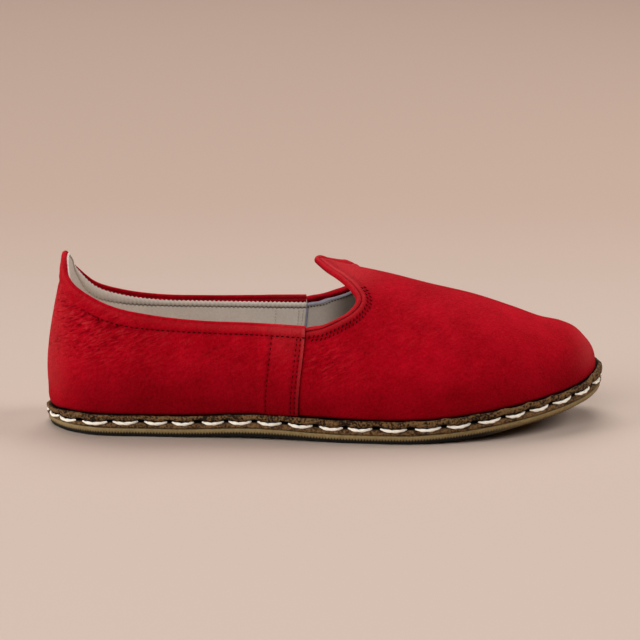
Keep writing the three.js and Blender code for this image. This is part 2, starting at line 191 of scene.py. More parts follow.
planCorners = np.array(
    [(along(0), last["heelMiddle"], 0)]
    + [(along(x), low, 0) for x, low, high in last["plan"]]
    + [(along(last["length"]), last["toeMiddle"], 0)]
    + [(along(x), high, 0) for x, low, high in reversed(last["plan"])]
)


def planPoint(turn):
    return catmull(planCorners, np.atleast_1d(turn) * len(planCorners), closed=True)


def planOut(turn):
    run = planPoint(np.atleast_1d(turn) + 1e-4) - planPoint(np.atleast_1d(turn) - 1e-4)
    return unit(np.stack([run[:, 1], -run[:, 0], 0 * run[:, 0]], axis=-1))


def floorRise(x):
    fromHeel = x + last["length"] / 2
    heel = last["heelLift"] * np.clip(1 - fromHeel / last["heelLiftUntil"], 0, 1) ** 2
    archShare = np.clip((fromHeel - last["archFrom"]) / (last["archUntil"] - last["archFrom"]), 0, 1)
    toeShare = np.clip((fromHeel - last["springFrom"]) / (last["length"] - last["springFrom"]), 0, 1)
    arch = last["arch"] * np.sin(np.pi * archShare) ** 2
    return heel + arch + last["spring"] * toeShare ** last["springPower"]


def onSole(turn, inset, height):
    # a point of the sole: turn runs once round the plan, from the heel by way of the outer side
    point = planPoint(turn) - planOut(turn) * np.reshape(inset, (-1, 1))
    point[:, 2] = floorRise(point[:, 0]) + height
    return point


def turnAt(fromHeel, side, inset):
    turns = np.linspace(0, 0.5, 4001) if side == outer else np.linspace(1, 0.5, 4001)
    return np.interp(along(fromHeel), onSole(turns, inset, 0)[:, 0], turns)


def ribPoints(foot, footOut, top, topOut, full, shares):
    # a wall line from the foot to the top, read at even shares of its length
    bulge, rise, flare, fall = full
    tall = np.array([0, 0, top[2] - foot[2]])
    low = foot + footOut * bulge + tall * rise
    high = top + topOut * flare - tall * fall
    t = np.linspace(0, 1, 601)[:, None]
    line = (1 - t) ** 3 * foot + 3 * (1 - t) ** 2 * t * low + 3 * (1 - t) * t**2 * high + t**3 * top
    run = runOf(line)
    return readLine(line, run, shares * run[-1])


def footSink(points):
    fromHeel = points[..., 0] + last["length"] / 2
    return (upperForm["footSink"] * (1 - smooth(fromHeel, *upperForm["footSinkFade"]))
            + upperForm["heelSink"] * (1 - smooth(fromHeel, *upperForm["heelSinkFade"])))


def footTuck(height):
    return -upperForm["footTuck"] * (1 - smooth(height, 0, upperForm["footTuckReach"])) ** 2


def footOf(fromHeel, side):
    turn = turnAt(fromHeel, side, upperForm["ledge"])
    return onSole(turn, upperForm["ledge"], upperForm["base"])[0], planOut(turn)[0]


def quarterRib(row, side, shares):
    foot, top, half, height, lift, bulge, rise, flare = row
    start, out = footOf(foot, side)
    end = np.array([along(top), across(top) + side * half, height + (lift if side == inner else 0)])
    return ribPoints(start, out, end, out, (bulge, rise, flare, upperForm["fallShare"] * rise), shares)


def quarterSheet(places, shares):
    rows = upperForm["quarter"]
    ribs = [quarterRib(row, outer, shares) for row in reversed(rows)]
    ribs += [quarterRib(row, inner, shares) for row in rows[1:]]
    return catmull(np.array(ribs), places)


def throatLine(places):
    corner = upperForm["quarter"][-1]
    ends = [quarterRib(corner, side, np.array([upperForm["cornerShare"]]))[0] for side in (outer, inner)]
    near = [(along(x), -half, height) for x, half, height, lift in upperForm["throat"]]
    far = [(along(x), half, height + lift) for x, half, height, lift in upperForm["throat"][:-1]]
    return catmull(np.array([ends[0], *near, *reversed(far), ends[1]]), places)


def vampSheet(places, walls, throats):
    # walls and throats are shares of the seam and of half the throat; walls stops short of 1
    corner = upperForm["quarter"][-1]
    spans = len(upperForm["throat"])
    edge = throatLine(np.concatenate([throats, 2 - throats[-2::-1]]) * spans)
    seams = [quarterRib(corner, side, walls * upperForm["cornerShare"]) for side in (outer, inner)]
    ribs = [np.concatenate([seams[0], edge, seams[1][::-1]])]
    share = upperForm["wallShare"]
    shares = np.concatenate([walls * share, share + (1 - share) * throats])
    for fromHeel, middle, height, outerFull, innerFull in upperForm["vamp"]:
        ridge = np.array([along(fromHeel), middle, height])
        halves = []
        for side, full in ((outer, outerFull), (inner, innerFull)):
            foot, out = footOf(fromHeel, side)
            bulge = upperForm["vampBulge"] * (ridge[2] - foot[2])
            flare = full * abs(foot[1] - ridge[1])
            sideways = np.array([0, side, 0])
            halves.append(ribPoints(foot, out, ridge, sideways, (bulge, full, flare, 0), shares))
        ribs.append(np.concatenate([halves[0], halves[1][-2::-1]]))
    toe = onSole(0.5, upperForm["ledge"], upperForm["base"])
    ribs.append(np.repeat(toe, len(ribs[0]), axis=0))
    return catmull(np.array(ribs), places)


def evened(vectors, own, rounds):
    # each vector drawn towards its four neighbours, its own weight beside theirs
    for _ in range(rounds):
        wide = np.pad(vectors, ((1, 1), (1, 1), (0, 0)), mode="edge")
        around = wide[:-2, 1:-1] + wide[2:, 1:-1] + wide[1:-1, :-2] + wide[1:-1, 2:]
        vectors = unit(around + own * vectors)
    return vectors


def gridNormals(grid, rounds):
    # outward normals of a grid of points, evened out over a few rounds
    normals = np.zeros_like(grid)
    face = np.cross(grid[1:, 1:] - grid[:-1, :-1], grid[:-1, 1:] - grid[1:, :-1])
    for columns in (slice(0, -1), slice(1, None)):
        for rows in (slice(0, -1), slice(1, None)):
            normals[columns, rows] += face
    normals = unit(normals)
    normals = evened(normals, 2, rounds)
    middle = grid.reshape(-1, 3).mean(axis=0) * [1, 1, 0.5]
    return normals * np.sign(np.sum(normals * (grid - middle)))


def nearest(points, cloud):  # index of and distance to the nearest point of a cloud
    found = np.zeros(len(points), int)
    size = np.sum(cloud**2, axis=1)
    for start in range(0, len(points), 2000):
        part = points[start:start + 2000]
        found[start:start + 2000] = np.argmin(size[None, :] - 2 * part @ cloud.T, axis=1)
    return found, np.linalg.norm(points - cloud[found], axis=1)


def layOn(points, skin, normals):
    # points moved on to a surface, along the normal of its nearest place
    cloud = skin.reshape(-1, 3)
    found, _ = nearest(points, cloud)
    out = normals.reshape(-1, 3)[found]
    return points - out * np.sum((points - cloud[found]) * out, axis=1, keepdims=True), out


def placed(piece, replaced=()):
    bpy.context.scene.collection.objects.link(piece)
    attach(piece, "root")
    if replaced:
        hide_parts(*replaced)
    return piece


def pieceFrom(name, points, faces, materials, replaced=(), marks=None, paint=None):
    mesh = bpy.data.meshes.new(name)
    mesh.from_pydata(np.asarray(points) * mm, [], faces)
    if paint is not None:
        mesh.polygons.foreach_set("material_index", paint)
    for label, values in (marks or {}).items():
        layer = mesh.attributes.new(label, "FLOAT", "POINT")
        layer.data.foreach_set("value", values.astype(np.float32))
    work = bmesh.new()
    work.from_mesh(mesh)
    bmesh.ops.remove_doubles(work, verts=work.verts, dist=0.002 * mm)
    bmesh.ops.recalc_face_normals(work, faces=work.faces)
    work.to_mesh(mesh)
    work.free()
    mesh.shade_smooth()
    mesh.set_sharp_from_angle(angle=math.radians(sharpFrom))
    for material in materials:
        mesh.materials.append(material)
    return placed(bpy.data.objects.new(name, mesh), replaced)


def thickSheet(name, skin, back, materials, replaced=(), marks=None, cutEdges=()):
    # a closed sheet between two grids; cutEdges names the rims that take the second material
    columns, rows = skin.shape[:2]
    number = np.arange(columns * rows).reshape(columns, rows)
    corners = [number[:-1, :-1], number[1:, :-1], number[1:, 1:], number[:-1, 1:]]
    front = np.stack([corner.ravel() for corner in corners], axis=-1)
    rims = {
        "low": (number[:-1, 0], number[1:, 0]),
        "end": (number[-1, :-1], number[-1, 1:]),
        "high": (number[1:, -1], number[:-1, -1]),
        "start": (number[0, 1:], number[0, :-1]),
    }
    total = columns * rows
    groups = [front, front[:, ::-1] + total]
    groups += [np.stack([b, a, a + total, b + total], axis=-1) for a, b in rims.values()]
    second = [False, False] + [rim in cutEdges for rim in rims]
    paint = np.concatenate([np.full(len(group), int(cut)) for group, cut in zip(groups, second)])
    points = np.concatenate([skin.reshape(-1, 3), back.reshape(-1, 3)])
    both = {label: np.tile(values.ravel(), 2) for label, values in (marks or {}).items()}
    return pieceFrom(name, points, np.concatenate(groups).tolist(), materials, replaced, both, paint)


def linear(colour):  # sRGB hex to linear
    parts = [int(colour[place:place + 2], 16) / 255 for place in (1, 3, 5)]
    return [part / 12.92 if part <= 0.04045 else ((part + 0.055) / 1.055) ** 2.4 for part in parts] + [1]


def socketOf(sockets, name):
    return next((s for s in sockets if s.identifier == name), None) or sockets[name]


def addNode(tree, kind, inputs=None, result=None, **settings):
    # a node with its settings and links; gives the named result, or the node itself
    made = tree.nodes.new(kind)
    for name, value in settings.items():
        setattr(made, name, value)
    for name, value in (inputs or {}).items():
        if isinstance(value, bpy.types.NodeSocket):
            tree.links.new(value, socketOf(made.inputs, name))
        else:
            socketOf(made.inputs, name).default_value = value
    return socketOf(made.outputs, result) if result else made


def newMaterial(name):
    material = bpy.data.materials.new(name)
    material.use_nodes = True
    return material, material.node_tree, material.node_tree.nodes["Principled BSDF"]


def setShader(tree, shader, values):
    for name, value in values.items():
        if isinstance(value, bpy.types.NodeSocket):
            tree.links.new(value, shader.inputs[name])
        else:
            shader.inputs[name].default_value = value


# Nubuck, cowhide sanded on the grain side: a short nap over a fine pebble; a pale mark mixes in a paler tone,
# in part painted highlight; the mark "wrinkle" brings slanting wrinkles and the mark "shade" paints shade
# into grooves and the foot
nubuckLook = {
    "deep": "#90000d",
    "body": "#b5061c",
    # pale tone of the nap; where the pale mark puts it on crowns, heel, toe and peak it is painted highlight
    "paleNap": "#c33e40",
    "shadow": "#2b0002",
    "blotch": 16.0,
    "pebble": 1.3,
    "nap": 0.5,
    "wrinkleLong": 4.4,
    "wrinkleWide": 0.95,
    "wrinkleTurn": 24.0,
    "relief": 0.6,
    "wrinkleRelief": 2.3,  # beside the pebble's
    "napRelief": 0.25,
}


def redNubuck(look):
    material, tree, shader = newMaterial("redNubuckSanded")
    place = addNode(tree, "ShaderNodeTexCoord", result="Object")
    wrinkle, paleNapAndSheen, shade = (
        addNode(tree, "ShaderNodeAttribute", result="Fac", attribute_name=mark)
        for mark in ("wrinkle", "paleNapAndSheen", "shade"))
    blotch = addNode(tree, "ShaderNodeTexNoise", {
        "Vector": place, "Scale": 1 / (look["blotch"] * mm), "Detail": 4.0, "Roughness": 0.6}, "Fac")
    nap = addNode(tree, "ShaderNodeTexNoise", {
        "Vector": place, "Scale": 1 / (look["nap"] * mm), "Detail": 2.0}, "Fac")
    pebble = addNode(tree, "ShaderNodeTexNoise", {
        "Vector": place, "Scale": 1 / (look["pebble"] * mm), "Detail": 3.0, "Roughness": 0.6}, "Fac")
    turned = addNode(tree, "ShaderNodeMapping", {
        "Vector": place,
        "Rotation": (0, -math.radians(look["wrinkleTurn"]), 0),
        "Scale": [look[size] * mm for size in ("wrinkleLong", "wrinkleLong", "wrinkleWide")]},
        "Vector", vector_type="TEXTURE")
    streak = addNode(tree, "ShaderNodeTexNoise", {
        "Vector": turned, "Scale": 1.0, "Detail": 2.0, "Roughness": 0.5, "Distortion": 0.6}, "Fac")
    dye = addNode(tree, "ShaderNodeMath", {0: pebble, 1: 0.9, 2: blotch}, "Value", operation="MULTIPLY_ADD")
    tone = addNode(tree, "ShaderNodeMapRange", {"Value": dye, "From Min": 0.65, "From Max": 1.25}, "Result")
    body = addNode(tree, "ShaderNodeMix", {
        "Factor_Float": tone, "A_Color": linear(look["deep"]), "B_Color": linear(look["body"])},
        "Result_Color", data_type="RGBA")
    # painted highlight on the wrinkles' crests
    crest = addNode(tree, "ShaderNodeMapRange", {
        "Value": streak, "From Min": 0.52, "From Max": 0.72, "To Max": 0.42}, "Result")
    crestHighlight = addNode(tree, "ShaderNodeMath", {0: crest, 1: wrinkle}, "Value", operation="MULTIPLY")
    napRub = addNode(tree, "ShaderNodeMapRange", {
        "Value": nap, "From Min": 0.45, "From Max": 0.8, "To Max": 0.12}, "Result")
    pale = addNode(tree, "ShaderNodeMath", {0: crestHighlight, 1: napRub}, "Value", operation="ADD")
    # the pale mark is partly paler nap and partly painted highlight
    paleAll = addNode(tree, "ShaderNodeMath", {0: pale, 1: paleNapAndSheen}, "Value", operation="ADD", use_clamp=True)
    colour = addNode(tree, "ShaderNodeMix", {
        "Factor_Float": paleAll, "A_Color": body, "B_Color": linear(look["paleNap"])},
        "Result_Color", data_type="RGBA")
    # painted shade in the wrinkles' valleys, added to the mark "shade" and mixed towards the shadow tone
    valley = addNode(tree, "ShaderNodeMapRange", {
        "Value": streak, "From Min": 0.48, "From Max": 0.3, "To Max": 0.7}, "Result")
    darkness = addNode(tree, "ShaderNodeMath", {0: valley, 1: wrinkle, 2: shade}, "Value",
                       operation="MULTIPLY_ADD", use_clamp=True)
    shadedColour = addNode(tree, "ShaderNodeMix", {
        "Factor_Float": darkness, "A_Color": colour, "B_Color": linear(look["shadow"])},
        "Result_Color", data_type="RGBA")
    deepStreak = addNode(tree, "ShaderNodeMath", {0: streak, 1: wrinkle}, "Value", operation="MULTIPLY")
    height = addNode(tree, "ShaderNodeMath", {
        0: deepStreak, 1: look["wrinkleRelief"], 2: pebble}, "Value", operation="MULTIPLY_ADD")
    relief = addNode(tree, "ShaderNodeMath", {
        0: nap, 1: look["napRelief"], 2: height}, "Value", operation="MULTIPLY_ADD")
    normal = addNode(tree, "ShaderNodeBump", {
        "Height": relief, "Strength": 1.0, "Distance": look["relief"] * mm}, "Normal")
    setShader(tree, shader, {
        "Base Color": shadedColour, "Normal": normal, "Roughness": 0.85, "IOR": 1.45, "Specular IOR Level": 0.05,
        "Specular Tint": linear("#e0605c"), "Sheen Weight": 0.06, "Sheen Roughness": 0.4,
        "Sheen Tint": linear("#ff6a60")})
    return material


# A grainy or fibrous hide in two tones: specks of the second tone, a soft bump, and painted shade in the
# third tone where the mark "shade" says so
def speckledHide(name, tones, speck, relief, contrast, shine):
    material, tree, shader = newMaterial(name)
    place = addNode(tree, "ShaderNodeTexCoord", result="Object")
    shade = addNode(tree, "ShaderNodeAttribute", result="Fac", attribute_name="shade")
    fine = addNode(tree, "ShaderNodeTexNoise", {
        "Vector": place, "Scale": 1 / (speck * mm), "Detail": 3.0, "Roughness": 0.65}, "Fac")
    broad = addNode(tree, "ShaderNodeTexNoise", {
        "Vector": place, "Scale": 1 / (9 * speck * mm), "Detail": 3.0}, "Fac")
    mixed = addNode(tree, "ShaderNodeMath", {0: broad, 1: 0.45, 2: fine}, "Value", operation="MULTIPLY_ADD")
    tone = addNode(tree, "ShaderNodeMapRange", {
        "Value": mixed, "From Min": 0.72 - contrast, "From Max": 0.72 + contrast}, "Result")
    body = addNode(tree, "ShaderNodeMix", {
        "Factor_Float": tone, "A_Color": linear(tones[0]), "B_Color": linear(tones[1])},
        "Result_Color", data_type="RGBA")
    colour = addNode(tree, "ShaderNodeMix", {
        "Factor_Float": shade, "A_Color": body, "B_Color": linear(tones[2])},
        "Result_Color", data_type="RGBA")
    normal = addNode(tree, "ShaderNodeBump", {
        "Height": mixed, "Strength": 0.6, "Distance": relief * mm}, "Normal")
    setShader(tree, shader, {"Base Color": colour, "Normal": normal, "IOR": 1.45, **shine})
    return material


# A twisted or spun thread: fine slanting fibres along it, the twist itself is modelled
def spunThread(name, tones, fibre, shine):
    material, tree, shader = newMaterial(name)
    place = addNode(tree, "ShaderNodeTexCoord", result="Object")
    strand = addNode(tree, "ShaderNodeTexNoise", {
        "Vector": place, "Scale": 1 / (fibre * mm), "Detail": 4.0, "Roughness": 0.7}, "Fac")
    tone = addNode(tree, "ShaderNodeMapRange", {"Value": strand, "From Min": 0.3, "From Max": 0.65}, "Result")
    colour = addNode(tree, "ShaderNodeMix", {
        "Factor_Float": tone, "A_Color": linear(tones[0]), "B_Color": linear(tones[1])},
        "Result_Color", data_type="RGBA")
    normal = addNode(tree, "ShaderNodeBump", {
        "Height": strand, "Strength": 0.4, "Distance": 0.2 * mm}, "Normal")
    setShader(tree, shader, {"Base Color": colour, "Normal": normal, "IOR": 1.5, **shine})
    return material


matt = {"Roughness": 0.88, "Specular IOR Level": 0.2}
nubuck = redNubuck(nubuckLook)
# raw cut edge of nubuck: paler fibres than the face
nubuckCut = speckledHide("redNubuckCutEdge", ("#a5242b", "#bf5a5c", "#4c0406"), 0.6, 0.15, 0.2, matt)
# aniline lining hide: even cream with a close grain, hardly any gloss
liningHide = speckledHide("creamLiningHide", ("#d4c5b8", "#e5d8cb", "#3e3024"), 0.9, 0.12, 0.25, {
    "Roughness": 0.7, "Specular IOR Level": 0.3})
# split edge of the lining, grey with a cold cast
liningTape = speckledHide("liningGreyEdge", ("#928f9e", "#adabb6", "#4e4c55"), 0.7, 0.1, 0.25, matt)
# vegetable tanned hide cut across: loose brown fibres that catch light as specks, drawn coarse enough to show
weltHide = speckledHide("brownWeltCutHide", ("#221206", "#7a5a37", "#040201"), 1.15, 0.9, 0.075, matt)
soleHide = speckledHide("brownSoleCutHide", ("#341f0f", "#7a5a38", "#050301"), 1.05, 0.7, 0.09, matt)
# moulded gum rubber: even tan with a faint bloom
treadRubber = speckledHide("tanTreadRubber", ("#77613c", "#988156", "#0a0705"), 1.6, 0.15, 0.3, {
    "Roughness": 0.75, "Specular IOR Level": 0.3})
# thick waxed linen cord, cream
waxedCord = spunThread("creamWaxedCord", ("#fdecd2", "#fffaf0"), 0.8, {
    "Roughness": 0.5, "Specular IOR Level": 0.5, "Sheen Weight": 0.2})
# thin polyester thread, dyed like the leather; its tones are drawn near black, partly painted shade of the
# holes it sinks into
sunk = {"Roughness": 0.9, "Specular IOR Level": 0.05}
redThread = spunThread("darkRedThread", ("#230104", "#420409"), 0.3, sunk)
creamThread = spunThread("creamLiningThread", ("#a29688", "#c8bdad"), 0.3, sunk)
greyThread = spunThread("greyLiningThread", ("#312a24", "#50463e"), 0.3, sunk)
print("materials made")

# Threads: stitches set out along a path, each a small arc of thread that lies on the surface


def newTree(name, inputs):
    tree = bpy.data.node_groups.new(name, "GeometryNodeTree")
    for label, kind in inputs.items():
        tree.interface.new_socket(name=label, in_out="INPUT", socket_type="NodeSocket" + kind)
    tree.interface.new_socket(name="Made", in_out="OUTPUT", socket_type="NodeSocketGeometry")
    return tree, addNode(tree, "NodeGroupInput").outputs


def endTree(tree, row, material):
    real = addNode(tree, "GeometryNodeRealizeInstances", {"Geometry": row}, "Geometry")
    done = addNode(tree, "GeometryNodeSetMaterial", {"Geometry": real, "Material": material}, "Geometry")
    addNode(tree, "NodeGroupOutput", {"Made": done})
    return tree


def threadTree():
    tree, given = newTree("threadSeam", {
        "Path": "Geometry", "Pitch": "Float", "Length": "Float", "Thickness": "Float", "Crown": "Float",
        "Slant": "Float", "Thread": "Material"})
    path = addNode(tree, "GeometryNodeMeshToCurve", {"Mesh": given["Path"]}, "Curve")
    spots = addNode(tree, "GeometryNodeResampleCurve", {"Curve": path, "Length": given["Pitch"]}, "Curve",
                    mode="LENGTH")
    half = addNode(tree, "ShaderNodeMath", {0: given["Length"], 1: 0.5}, "Value", operation="MULTIPLY")
    back = addNode(tree, "ShaderNodeMath", {0: given["Length"], 1: -0.5}, "Value", operation="MULTIPLY")
    sunk = addNode(tree, "ShaderNodeMath", {0: given["Crown"], 1: -1.0}, "Value", operation="MULTIPLY")
    lift = addNode(tree, "ShaderNodeMath", {0: given["Crown"], 1: 2.0}, "Value", operation="MULTIPLY")
    arc = addNode(tree, "GeometryNodeCurveQuadraticBezier", {
        "Resolution": 6,
        "Start": addNode(tree, "ShaderNodeCombineXYZ", {"X": back, "Z": sunk}, "Vector"),
        "Middle": addNode(tree, "ShaderNodeCombineXYZ", {"Z": lift}, "Vector"),
        "End": addNode(tree, "ShaderNodeCombineXYZ", {"X": half, "Z": sunk}, "Vector")}, "Curve")
    radius = addNode(tree, "ShaderNodeMath", {0: given["Thickness"], 1: 0.5}, "Value", operation="MULTIPLY")
    ring = addNode(tree, "GeometryNodeCurvePrimitiveCircle", {"Resolution": 6, "Radius": radius}, "Curve")
    stitch = addNode(tree, "GeometryNodeCurveToMesh", {
        "Curve": arc, "Profile Curve": ring, "Fill Caps": True}, "Mesh")
    soft = addNode(tree, "GeometryNodeSetShadeSmooth", {"Geometry": stitch}, "Geometry")
    tangent = addNode(tree, "GeometryNodeInputTangent", result="Tangent")
    outward = addNode(tree, "GeometryNodeInputNamedAttribute", {"Name": "outward"}, "Attribute",
                      data_type="FLOAT_VECTOR")
    ahead = addNode(tree, "FunctionNodeAlignRotationToVector", {"Vector": tangent}, "Rotation", axis="X")
    upright = addNode(tree, "FunctionNodeAlignRotationToVector", {
        "Rotation": ahead, "Vector": outward}, "Rotation", axis="Z", pivot_axis="X")
    slant = addNode(tree, "FunctionNodeAxisAngleToRotation", {
        "Axis": (0, 0, 1), "Angle": given["Slant"]}, "Rotation")
    pose = addNode(tree, "FunctionNodeRotateRotation", {
        "Rotation": upright, "Rotate By": slant}, "Rotation", rotation_space="LOCAL")
    row = addNode(tree, "GeometryNodeInstanceOnPoints", {
        "Points": spots, "Instance": soft, "Rotation": pose}, "Instances")
    return endTree(tree, row, given["Thread"])


def cordTree():
    tree, given = newTree("cordSeam", {
        "Path": "Geometry", "Length": "Float", "Ply": "Float", "Apart": "Float", "Rise": "Float",
        "Droop": "Float", "Seat": "Float", "Stand": "Float", "Turns": "Float", "Taper": "Float",
        "Uneven": "Float", "Seed": "Int", "Cord": "Material"})
    spots = addNode(tree, "GeometryNodeMeshToPoints", {"Mesh": given["Path"]}, "Points")
    half = addNode(tree, "ShaderNodeMath", {0: given["Length"], 1: 0.5}, "Value", operation="MULTIPLY")
    back = addNode(tree, "ShaderNodeMath", {0: given["Length"], 1: -0.5}, "Value", operation="MULTIPLY")
    inwards = addNode(tree, "ShaderNodeMath", {0: given["Seat"], 1: -1.0}, "Value", operation="MULTIPLY")
    down = addNode(tree, "ShaderNodeMath", {0: given["Droop"], 1: -1.0}, "Value", operation="MULTIPLY")
    rise = given["Rise"]
    arc = addNode(tree, "GeometryNodeCurveQuadraticBezier", {
        "Resolution": 22,
        "Start": addNode(tree, "ShaderNodeCombineXYZ", {"X": back, "Y": rise, "Z": inwards}, "Vector"),
        "Middle": addNode(tree, "ShaderNodeCombineXYZ", {"Y": down, "Z": given["Stand"]}, "Vector"),
        "End": addNode(tree, "ShaderNodeCombineXYZ", {"X": half, "Y": rise, "Z": inwards}, "Vector"),
    }, "Curve")
    factor = addNode(tree, "GeometryNodeSplineParameter", result="Factor")
    fromMiddle = addNode(tree, "ShaderNodeMath", {
        0: factor, 1: 2.0, 2: -1.0}, "Value", operation="MULTIPLY_ADD")
    square = addNode(tree, "ShaderNodeMath", {0: fromMiddle, 1: fromMiddle}, "Value", operation="MULTIPLY")
    fourth = addNode(tree, "ShaderNodeMath", {0: square, 1: square}, "Value", operation="MULTIPLY")
    loss = addNode(tree, "ShaderNodeMath", {0: fourth, 1: given["Taper"]}, "Value", operation="MULTIPLY")
    size = addNode(tree, "ShaderNodeMath", {0: 1.0, 1: loss}, "Value", operation="SUBTRACT")
    twist = addNode(tree, "ShaderNodeMath", {0: factor, 1: given["Turns"]}, "Value", operation="MULTIPLY")
    tilt = addNode(tree, "ShaderNodeMath", {0: twist, 1: math.tau}, "Value", operation="MULTIPLY")
    twisted = addNode(tree, "GeometryNodeSetCurveTilt", {"Curve": arc, "Tilt": tilt}, "Curve")
    ring = addNode(tree, "GeometryNodeCurvePrimitiveCircle", {
        "Resolution": 14, "Radius": given["Ply"]}, "Curve")
    apartBack = addNode(tree, "ShaderNodeMath", {0: given["Apart"], 1: -1.0}, "Value", operation="MULTIPLY")
    joined = addNode(tree, "GeometryNodeJoinGeometry")
    for offset in (given["Apart"], apartBack):
        aside = addNode(tree, "ShaderNodeCombineXYZ", {"X": offset}, "Vector")
        moved = addNode(tree, "GeometryNodeTransform", {"Geometry": ring, "Translation": aside}, "Geometry")
        tree.links.new(moved, joined.inputs["Geometry"])
    plies = joined.outputs["Geometry"]
    stitch = addNode(tree, "GeometryNodeCurveToMesh", {
        "Curve": twisted, "Profile Curve": plies, "Scale": size, "Fill Caps": True}, "Mesh")
    soft = addNode(tree, "GeometryNodeSetShadeSmooth", {"Geometry": stitch}, "Geometry")
    forward, outward = (
        addNode(tree, "GeometryNodeInputNamedAttribute", {"Name": label}, "Attribute",
                data_type="FLOAT_VECTOR")
        for label in ("forward", "outward"))
    ahead = addNode(tree, "FunctionNodeAlignRotationToVector", {"Vector": forward}, "Rotation", axis="X")
    upright = addNode(tree, "FunctionNodeAlignRotationToVector", {
        "Rotation": ahead, "Vector": outward}, "Rotation", axis="Z", pivot_axis="X")
    span = addNode(tree, "GeometryNodeInputNamedAttribute", {"Name": "span"}, "Attribute", data_type="FLOAT")
    least = addNode(tree, "ShaderNodeMath", {0: 1.0, 1: given["Uneven"]}, "Value", operation="SUBTRACT")
    most = addNode(tree, "ShaderNodeMath", {0: 1.0, 1: given["Uneven"]}, "Value", operation="ADD")
    stretch = addNode(tree, "FunctionNodeRandomValue", {
        "Min_001": least, "Max_001": most, "Seed": given["Seed"]}, "Value_001", data_type="FLOAT")
    long = addNode(tree, "ShaderNodeMath", {0: stretch, 1: span}, "Value", operation="MULTIPLY")
    scale = addNode(tree, "ShaderNodeCombineXYZ", {"X": long, "Y": 1.0, "Z": 1.0}, "Vector")
    row = addNode(tree, "GeometryNodeInstanceOnPoints", {
        "Points": spots, "Instance": soft, "Rotation": upright, "Scale": scale}, "Instances")
    return endTree(tree, row, given["Cord"])


seamTree = threadTree()
soleTree = cordTree()


# Quarter: the back of the upper, its top edge turned over to the inside
quarter = {
    "columns": 560,
    "plainRows": 44,
    "bandDepth": 11.0,
    "bandRows": 22,
    "foldRows": 7,
    "facingRows": 6,
    "hide": 1.0,
    "proud": 0.35,
    "foldHeight": 1.4,
    "facing": 6.2,
    "facingInside": 1.95,
    "stitchDrop": 5.8,
    "stitchSag": 2.7,
    "stitchSagFrom": 84.0,
    "stitchSagUntil": 20.0,
    "collarSeam": (0.32, 0.75),  # depth and width of its groove
    "collarSeamFrom": (20, 38),  # away from the peak
    "rollDrop": 12.0,
    "rollRise": 0.45,
    "rollFoot": (0.3, 2.2, 1.6),  # depth, drop below the roll and width of the hollow
    "rollUntil": (5, 16),
    "heelRound": 0.6,
    "heelRoundAt": (3.5, 3.0),
    "heelRoundUntil": (8, 34),
    "overlap": 1.0,
    "overlapLength": 15.0,
    "overlapFade": 5.0,
    "seamRows": (1.9, 3.7),
    "seamGroove": (0.14, 0.6),  # depth, width
    "tabRow": 16.0,
    "tabGroove": (0.25, 0.8),
    "edgeRound": 0.25,
    "edgeReach": 0.9,
    "thin": 0.5,  # the hide pared for the fold
    "thinFrom": (6, 2),
    "creases": [  # side, from heel, height, turn in degrees, length, width, depth
        (outer, 20, 60, 27, 16, 1.0, 0.3),
        (outer, 26, 57, 26, 20, 1.0, 0.36),
        (outer, 33, 55, 24, 20, 1.0, 0.34),
        (outer, 30, 50, 24, 22, 1.2, 0.3),
        (outer, 42, 50, 22, 20, 1.1, 0.26),
        (outer, 18, 51, 27, 15, 1.1, 0.26),
        (outer, 36, 44, 24, 22, 1.3, 0.22),
        (outer, 55, 46, 25, 22, 1.3, 0.2),
        (outer, 68, 43, 28, 20, 1.4, 0.16),
        (outer, 92, 47, 34, 16, 1.2, 0.22),
        (outer, 84, 42, 36, 18, 1.3, 0.2),
        (outer, 76, 36, 32, 20, 1.5, 0.15),
        (outer, 100, 40, 36, 15, 1.3, 0.14),
        (inner, 22, 58, 27, 16, 1.1, 0.3),
        (inner, 28, 53, 26, 20, 1.1, 0.3),
        (inner, 36, 48, 24, 22, 1.3, 0.24),
        (inner, 52, 45, 25, 22, 1.4, 0.18),
        (inner, 88, 43, 36, 18, 1.4, 0.18),
    ],
}


# Where the quarter wrinkles, takes a paler tone or painted highlight and takes painted shade; pairs are a
# middle and a reach, or a start and an end
quarterMarks = {
    "wrinkle": (0.22, 0.78),  # all over, and more in the zone at the heel
    "wrinkleAlong": (27, 27),
    "wrinkleHigh": (58, 17),
    "wrinkleFrom": (16, 42),
    "wrinkleUntil": (70, 80),
    "wrinkleFold": 0.1,
    "wrinkleBand": 0.35,  # share left above the collar seam
    # painted highlight on the heel's back and below the collar's top; the tab and the front edge only go
    # paler
    "heelSheen": 0.34,
    "heelSheenReach": 10,
    "heelSheenFrom": (12, 26),
    "tabPale": 0.14,
    "tabPaleAlong": (108, 116),
    "tabPaleFrom": (34, 54),
    "collarTopSheen": 0.3,
    "collarTopSheenAt": (2.2, 1.8),
    "collarTopSheenAlong": (60, 125),
    "edgePale": 0.5,
    "edgePaleUntil": (0.7, 1.4),
    "edgePaleFrom": (14, 45),
    # painted shade: towards the foot (less at the heel's back), in the crevice at the foot, along seam
    # grooves, under the fold and on the facing
    "footShade": 0.47,
    "footShadeReach": 34,
    "footShadeAlong": (4, 26),
    "crevice": 0.5,
    "creviceReach": 1.0,
    "seamShade": 0.2,
    "rowShade": 0.16,
    "foldShade": 0.6,
    "legShade": 0.92,
    "legShadeFrom": (-0.1, 0.45),
}


def creaseLift(points, side, rows):
    # soft troughs with a low ridge on each side
    lift = np.zeros(points.shape[:-1])
    for onSide, fromHeel, height, turn, length, width, depth in rows:
        dx = points[..., 0] - along(fromHeel)
        dz = points[..., 2] - height
        angle = math.radians(turn)
        lengthwise = dx * math.cos(angle) + dz * math.sin(angle)
        sideways = dz * math.cos(angle) - dx * math.sin(angle)
        trough = -hump(sideways, 0, width) + 0.45 * hump(np.abs(sideways), 2 * width, width)
        lift += np.where(side == onSide, depth * trough * np.exp(-((2 * lengthwise / length) ** 4)), 0)
    return lift


